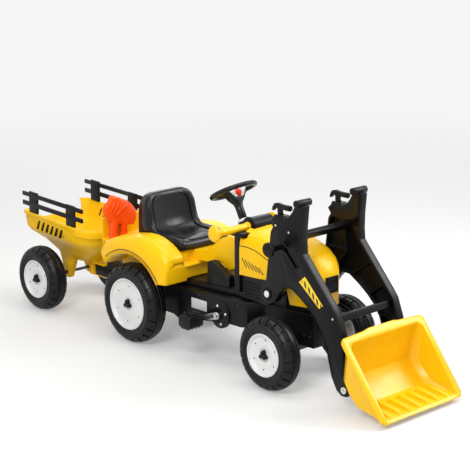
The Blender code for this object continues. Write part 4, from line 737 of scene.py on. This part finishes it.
# Seat. One glossy black moulding set on the rear body: a raised border runs up both sides of the
# back and over its top, and the pan carries a pressed rectangle.
BORDER = ((-0.0760, 0.0760, 0.3700), (-0.1150, 0.0800, 0.3702), (-0.1700, 0.0815, 0.3712),
          (-0.1980, 0.0825, 0.3745), (-0.2100, 0.0825, 0.3860), (-0.2190, 0.0825, 0.4100),
          (-0.2280, 0.0810, 0.4450), (-0.2338, 0.0750, 0.4680), (-0.2375, 0.0630, 0.4790),
          (-0.2400, 0.0440, 0.4840))
PRESSED = ((-0.0750, -0.0560), (-0.1180, -0.0560), (-0.1240, -0.0500), (-0.1240, 0.0500), (-0.1180, 0.0560),
           (-0.0750, 0.0560), (-0.0710, 0.0500), (-0.0710, -0.0500))
PAN_Z = 0.3655
PIPING_ROUND = 0.0022
PRESSING_ROUND = 0.0014
seat_black = plastic("seat_moulding", (0.0040, 0.0040, 0.0048), 0.20, 0.26, 0.14, 0.4, shine=0.30,
                     round_by=0.0035)
from_frame("seat", seat_black, radius=0.0, angle=50.0)
border_line = [(x, -y, z) for x, y, z in BORDER] + [(x, y, z) for x, y, z in reversed(BORDER)]
piping = bead("seat_piping", seat_black, border_line, PIPING_ROUND)
pressed_line = [(x, y, PAN_Z) for x, y in PRESSED]
pressing = bead("seat_pressing", seat_black, pressed_line, PRESSING_ROUND, closed=True)
settle(gather("seat_border", [piping, pressing]), "tractor", "black")


# Steering wheel. One glossy black moulding: a round rim, three spokes, a deep hub and the sleeve
# that turns in the column's white collar. A white plate with a red push button sits on the hub.
button_red = plastic("button_moulding", (0.90, 0.022, 0.004), 0.05, 0.30, 0.08, 0.2, 0.05, 0.24)
from_frame("steering_wheel", seat_black)
from_frame("column_collar", rim_white)
from_frame("wheel_plate", rim_white)
from_frame("horn_button", button_red)


# Loader arms. Ribbed black mouldings, open inwards, hung on white pivot pins. Each carries a label
# with hazard stripes, bright screws, a raised ring and raised edges, and the right one a long slot.
ARM_FACE = 0.1400
LABEL = ((0.5115, 0.3575), (0.5359, 0.3790), (0.6109, 0.3035), (0.5959, 0.2918))
LABEL_SUNK = 0.0002
LABEL_THICK = 0.0009
STRIPE_PITCH = 0.0150
STRIPE_SLANT = (1.0, 0.0, 0.12)
STRIPED = [((0.5290, 0.3620), (0.6000, 0.3010))]
STRIPED_HALF = 0.0062
ARM_SCREWS = ((0.4665, 0.5012), (0.6500, 0.2715), (0.4110, 0.5140))
ARM_SCREW = (0.0040, 0.0020)
RING_AT = (0.3746, 0.2906)
RING_LINE = [(0.0150, -0.0006), (0.0152, 0.0022), (0.0172, 0.0034), (0.0192, 0.0022), (0.0194, -0.0006)]
SLOT_TOP = Vector((0.4450, 0, 0.4560))
SLOT_FOOT = Vector((0.4960, 0, 0.4020))
SLOT_EDGE = 0.0100
SLOT_EDGE_ROUND = 0.0016
SLOT_FLOOR = ((0.4150, 0.4820), (0.4560, 0.4760), (0.5120, 0.4000), (0.4960, 0.3840), (0.4620, 0.3900),
              (0.4150, 0.4420))
SLOT_FLOOR_Y = -0.1232
SLOT_FLOOR_THICK = 0.0012
LOWER_EDGE = ((0.4360, 0.3195), (0.4560, 0.3330), (0.4830, 0.3330), (0.5200, 0.3120), (0.5590, 0.2850),
              (0.5905, 0.2560), (0.6150, 0.2190), (0.6355, 0.1600), (0.6550, 0.0940))
FRONT_EDGE = ((0.5170, 0.4480), (0.6350, 0.3115), (0.6570, 0.2840), (0.6800, 0.2250), (0.6870, 0.1690),
              (0.6930, 0.1020))
EDGE_ROUND = 0.0011


def on_arm(points, out):
    # (x, z) points laid on the right arm's face, out of it by the given distance
    return [(x, -ARM_FACE - out, z) for x, z in points]


for node in ("pivot_pin_right", "pivot_pin_left"):
    from_frame(node, rim_white)
label_finish = plastic("label_film", (0.92, 0.62, 0.010), 0.03, 0.32, 0.04, 0.0)
tree = label_finish.node_tree
slant = work(tree, "VectorMath", "DOT_PRODUCT", add(tree, "TexCoord").outputs["Object"], STRIPE_SLANT)
wave = work(tree, "Math", "FRACT", work(tree, "Math", "DIVIDE", slant, STRIPE_PITCH))
begun = ramp(tree, wave, 0.44, 0.47, 0.0, 1.0)
not_over = ramp(tree, wave, 0.93, 0.96, 1.0, 0.0)
stripes = work(tree, "Math", "MULTIPLY", begun, not_over)
middle = strips(label_finish, STRIPED, STRIPED_HALF)
printed(label_finish, work(tree, "Math", "MULTIPLY", stripes, middle), INK)
label = slab("arm_label_right", label_finish, on_arm(LABEL, -LABEL_SUNK), (0, -LABEL_THICK, 0), radius=0.0003)
settle_both(label, "arm_label_left", "loader", "yellow")

screws = [screw(f"arm_screw_{k}", bright_steel, spot, *ARM_SCREW)
          for k, spot in enumerate(on_arm(ARM_SCREWS, 0.0))]
settle_both(gather("arm_screws_right", screws), "arm_screws_left", "loader", "steel")

ring_spot = (RING_AT[0], -ARM_FACE, RING_AT[1])
ring = spun("pivot_ring", black, RING_LINE, ring_spot, OUTWARD, 28, closed=True, angle=50.0)
slot_way = atan2(SLOT_FOOT.z - SLOT_TOP.z, SLOT_FOOT.x - SLOT_TOP.x)
oval = []
for end, first in ((SLOT_TOP, pi / 2), (SLOT_FOOT, -pi / 2)):
    for step in range(9):
        turn = slot_way + first + pi * step / 8
        oval.append((end.x + SLOT_EDGE * cos(turn), end.z + SLOT_EDGE * sin(turn)))
slot_edge = bead("slot_edge", black, on_arm(oval, 0.0002), SLOT_EDGE_ROUND, closed=True)
# a near-black sheet behind the arm's slot, painted shade inside it
slot_floor = [(x, SLOT_FLOOR_Y, z) for x, z in SLOT_FLOOR]
settle(slab("slot_back", slot_shade_black, slot_floor, (0, -SLOT_FLOOR_THICK, 0)), "loader", "black")
lower_bead = bead("lower_bead", black, on_arm(LOWER_EDGE, 0.0001), EDGE_ROUND)
front_bead = bead("front_bead", black, on_arm(FRONT_EDGE, 0.0001), EDGE_ROUND)
left_trim = [opposite(piece, piece.name + "_left") for piece in (ring, lower_bead, front_bead)]
settle(gather("arm_trim_right", [ring, slot_edge, lower_bead, front_bead]), "loader", "black")
settle(gather("arm_trim_left", left_trim), "loader", "black")


# Hand tools. A shovel and a rake in orange plastic, standing side by side in the shelf's sockets,
# with pillowed blades that meet at a seam and slanted ridges on them.
TOOL_X = -0.4260
BLADE_BACK = TOOL_X - 0.0040
RIDGE_X = TOOL_X + 0.0158
SHOVEL_AT = -0.0985
RAKE_AT = -0.0530
SEAM_Y = -0.0765
SEAM_GAP = 0.0003
# foot, head and radius of each stem, and of the peg under it in the shelf's socket
SHOVEL_STEM = (0.3103, 0.3780, 0.0150)
RAKE_STEM = (0.3103, 0.3720, 0.0130)
PEG = (0.2930, 0.3102, 0.0080)
SHOVEL_LINE = [(-0.1180, 0.3700), (-0.1223, 0.3750), (-0.1330, 0.3920), (-0.1402, 0.4108),
               (-0.1408, 0.4252), (-0.1335, 0.4370), (-0.1190, 0.4450), (-0.1110, 0.4630),
               (-0.1050, 0.4650), (-0.0970, 0.4630), (SEAM_Y - SEAM_GAP, 0.4545),
               (SEAM_Y - SEAM_GAP, 0.3580), (-0.1000, 0.3600)]
RAKE_LINE = [(SEAM_Y + SEAM_GAP, 0.3578), (-0.0512, 0.3540), (-0.0240, 0.3470), (-0.0110, 0.3500),
             (-0.0010, 0.3648), (0.0015, 0.3826), (-0.0035, 0.4002), (-0.0215, 0.4220), (-0.0390, 0.4350),
             (SEAM_Y + SEAM_GAP, 0.4543)]
# size of the blade's face at each step, and how far that step rises
SWELL = ((1.000, 0.0090), (0.975, 0.0030), (0.930, 0.0022), (0.840, 0.0018), (0.700, 0.0010))
RIDGES = ((-0.1190, 0.4060, -0.1000, 0.4440), (-0.1060, 0.3990, -0.0810, 0.4400),
          (-0.0940, 0.3930, -0.0790, 0.4080), (-0.0740, 0.4060, -0.0480, 0.4260))
RIDGE_SINK = 0.0030
TOOL_RIDGE_ROUND = 0.0028


def blade(name, outline, side):
    # the outline stepped in towards its seam, so that the face swells like a pillow
    heart = (0.0, SEAM_Y + SEAM_GAP * side, sum(z for y, z in outline) / len(outline))
    drawn([Vector((BLADE_BACK, y, z)) for y, z in outline], closed=True)
    bpy.ops.mesh.edge_face_add()
    bpy.ops.mesh.select_mode(type="FACE")
    for grow, rise in SWELL:
        bpy.ops.mesh.extrude_region_move(TRANSFORM_OT_translate={"value": (rise, 0, 0)})
        if grow < 1.0:
            bpy.ops.transform.resize(value=(1.0, grow, grow), center_override=heart)
    finish_editing()
    piece = modelled(name, tool_orange)
    bpy.ops.object.shade_smooth_by_angle(angle=radians(50.0))
    return piece


def stem(name, y, low, high, radius):
    outline = [(0.0, low), (radius - 0.0020, low), (radius, low + 0.0020), (radius + 0.0012, high),
               (0.0, high)]
    return spun(name, tool_orange, outline, (TOOL_X, y, 0.0), (0, 0, 1), 24)


def tool_ridge(name, y0, z0, y1, z1):
    # a bead that rises out of the blade, bends a little and sinks in again
    bend = (y1 - y0) * 0.16
    line = [(RIDGE_X - RIDGE_SINK, y0, z0), (RIDGE_X, y0 * 0.72 + y1 * 0.28 - bend, z0 * 0.72 + z1 * 0.28),
            (RIDGE_X, y0 * 0.35 + y1 * 0.65 - bend, z0 * 0.35 + z1 * 0.65), (RIDGE_X - RIDGE_SINK, y1, z1)]
    return bead(name, tool_orange, line, TOOL_RIDGE_ROUND)


tool_orange = plastic("tool_moulding", (0.95, 0.085, 0.004), 0.07, 0.30, 0.10, 0.3, 0.10, 0.30)
ridges = [tool_ridge(f"tool_ridge_{k}", *ends) for k, ends in enumerate(RIDGES)]
shovel = [blade("shovel_blade", SHOVEL_LINE, -1), stem("shovel_stem", SHOVEL_AT, *SHOVEL_STEM),
          stem("shovel_peg", SHOVEL_AT, *PEG)]
rake = [blade("rake_blade", RAKE_LINE, 1), stem("rake_stem", RAKE_AT, *RAKE_STEM),
        stem("rake_peg", RAKE_AT, *PEG)]
settle(gather("shovel_skin", shovel + ridges[:3]), "tool_shovel", "orange", "shovel")
settle(gather("rake_skin", rake + ridges[3:]), "tool_rake", "orange", "rake")


# Tyres. Each is blown in one piece from hard black plastic: a plain side wall with a bead at the
# rim, square lugs round both shoulders with a narrow gap between them, and a ribbed crown.
TREAD_FACE = 0.2070               # outer side of the tyres from the middle plane
LUGS = 22
STEPS_A_LUG = 10
GAP_STEPS = 2
GAP_DEPTH = 0.0050
STEP_ANGLE = 2 * pi / (LUGS * STEPS_A_LUG)
SHOULDER_DEEP = 0.0185
SHOULDER_WIDE = 0.0245
# axle's place along the toy, tyre's radius, rim's radius and tyre's width
WHEELS = {"front": (0.4195, 0.1170, 0.0695, 0.0720),
          "rear": (-0.2340, 0.1370, 0.0890, 0.0800),
          "cart": (-0.7530, 0.1170, 0.0700, 0.0750)}
WHEEL_BODY = {"front": ("front_wheel_right", "front_wheel_left"),
              "rear": ("rear_wheels", "rear_wheels"),
              "cart": ("cart_wheel_right", "cart_wheel_left")}


def cut_tread(tyre, hub, radius, width):
    # sinks the narrow gaps between the lugs
    keep_only(tyre)
    bpy.ops.object.mode_set(mode="EDIT")
    bpy.ops.mesh.select_mode(type="FACE")
    bpy.ops.mesh.select_all(action="DESELECT")
    bpy.ops.object.mode_set(mode="OBJECT")
    for face in tyre.data.polygons:
        across_tyre = TREAD_FACE - abs(face.center.y)
        far = hypot(face.center.x - hub.x, face.center.z - hub.z)
        turn = atan2(face.center.z - hub.z, face.center.x - hub.x) / STEP_ANGLE
        from_edge = min(across_tyre, width - across_tyre)
        on_shoulder = far > radius - SHOULDER_DEEP and from_edge < SHOULDER_WIDE
        face.select = on_shoulder and int(turn // 1) % STEPS_A_LUG < GAP_STEPS
    bpy.ops.object.mode_set(mode="EDIT")
    bpy.ops.mesh.extrude_region_shrink_fatten(TRANSFORM_OT_shrink_fatten={"value": -GAP_DEPTH})
    bpy.ops.object.mode_set(mode="OBJECT")
    bpy.ops.object.shade_smooth_by_angle(angle=radians(28.0))


def settle_on_wheels(wheel, piece, left_name, slot_name, kind=""):
    # the piece on the right wheel and its mirror image on the left one, for the nodes of that kind
    left = opposite(piece, left_name)
    for side, owner, body in zip(("right", "left"), (piece, left), WHEEL_BODY[wheel]):
        nodes = [f"{wheel}_{kind}_{side}"] if kind else []
        settle(owner, body, slot_name, *nodes)


tyre_black = plastic("tyre_moulding", (0.0042, 0.0042, 0.0048), 0.28, 0.33, 0.22, 0.9, shine=0.24)
for wheel, (axle_x, radius, rim, width) in WHEELS.items():
    half = [(rim, 0.0045), (rim + 0.0030, 0.0015), (rim + 0.0060, 0.0010), (rim + 0.0080, 0.0025),
            (rim + 0.0100, 0.0012), (rim + 0.40 * (radius - rim), 0.0), (radius - 0.0235, 0.0012),
            (radius - 0.0215, 0.0046), (radius - 0.0190, 0.0046), (radius - 0.0170, 0.0050),
            (radius - 0.0100, 0.0098), (radius - 0.0045, 0.0165), (radius - 0.0022, 0.0235),
            (radius - 0.0052, 0.0250), (radius - 0.0052, 0.0275), (radius - 0.0010, 0.0290),
            (radius - 0.0004, width / 2 - 0.0030), (radius - 0.0018, width / 2 - 0.0015)]
    line = half + [(r, width - h) for r, h in reversed(half)]
    outline = [(r, TREAD_FACE - h) for r, h in line]
    hub = Vector((axle_x, 0.0, radius))
    tyre = spun(f"{wheel}_tyre_right_skin", tyre_black, outline, hub, OUTWARD, LUGS * STEPS_A_LUG,
                closed=True, angle=28.0)
    cut_tread(tyre, hub, radius, width)
    settle_on_wheels(wheel, tyre, f"{wheel}_tyre_left_skin", "tyre", "tyre")


# Wheel discs. Off-white dished plastic discs with a raised lip, a stepped ring and six small screws,
# set in the tyres and held on the axle by the lobed black caps.
DISC_FACE = 0.2050
INSET = 0.0060                    # the disc's inner edge, from the tyre's inner side
SCREW_TURN = 25.0
SCREW_RING = 0.70
SCREW_SEAT = 0.0104
DISC_SCREW = (0.0026, 0.0010)
BORE = {"front": 0.0063, "rear": 0.0058, "cart": 0.0063}
for wheel, (axle_x, radius, rim, width) in WHEELS.items():
    lip = rim - 0.0005
    inner = TREAD_FACE - width + INSET
    # radius, and distance in from the disc's face
    face = [(0.0, 0.0120), (0.0180, 0.0120), (0.0205, 0.0100), (rim * 0.58, 0.0088), (rim * 0.62, 0.0105),
            (rim * 0.80, 0.0098), (lip - 0.0105, 0.0088), (lip - 0.0080, 0.0062), (lip - 0.0060, 0.0010),
            (lip - 0.0040, 0.0), (lip - 0.0018, 0.0004), (lip, 0.0025)]
    hollow = [(lip, inner), (lip - 0.0040, inner), (lip - 0.0060, DISC_FACE - 0.0180),
              (0.0160, DISC_FACE - 0.0220), (0.0160, inner + 0.0120), (BORE[wheel], inner + 0.0120),
              (BORE[wheel], DISC_FACE - 0.0200), (0.0, DISC_FACE - 0.0200)]
    outline = [(r, DISC_FACE - deep) for r, deep in face] + hollow
    hub = Vector((axle_x, 0.0, radius))
    disc = spun(f"{wheel}_disc_right_skin", rim_white, outline, hub, OUTWARD, 72, angle=30.0)
    settle_on_wheels(wheel, disc, f"{wheel}_disc_left_skin", "white", "disc")
    heads = []
    for k in range(6):
        turn = radians(SCREW_TURN + 60.0 * k)
        out = rim * SCREW_RING
        spot = (hub.x + out * cos(turn), -(DISC_FACE - SCREW_SEAT), hub.z + out * sin(turn))
        heads.append(screw(f"{wheel}_disc_screw_{k}", dark_steel, spot, *DISC_SCREW))
    heads = gather(f"{wheel}_disc_screws_right", heads)
    settle_on_wheels(wheel, heads, f"{wheel}_disc_screws_left", "steel")
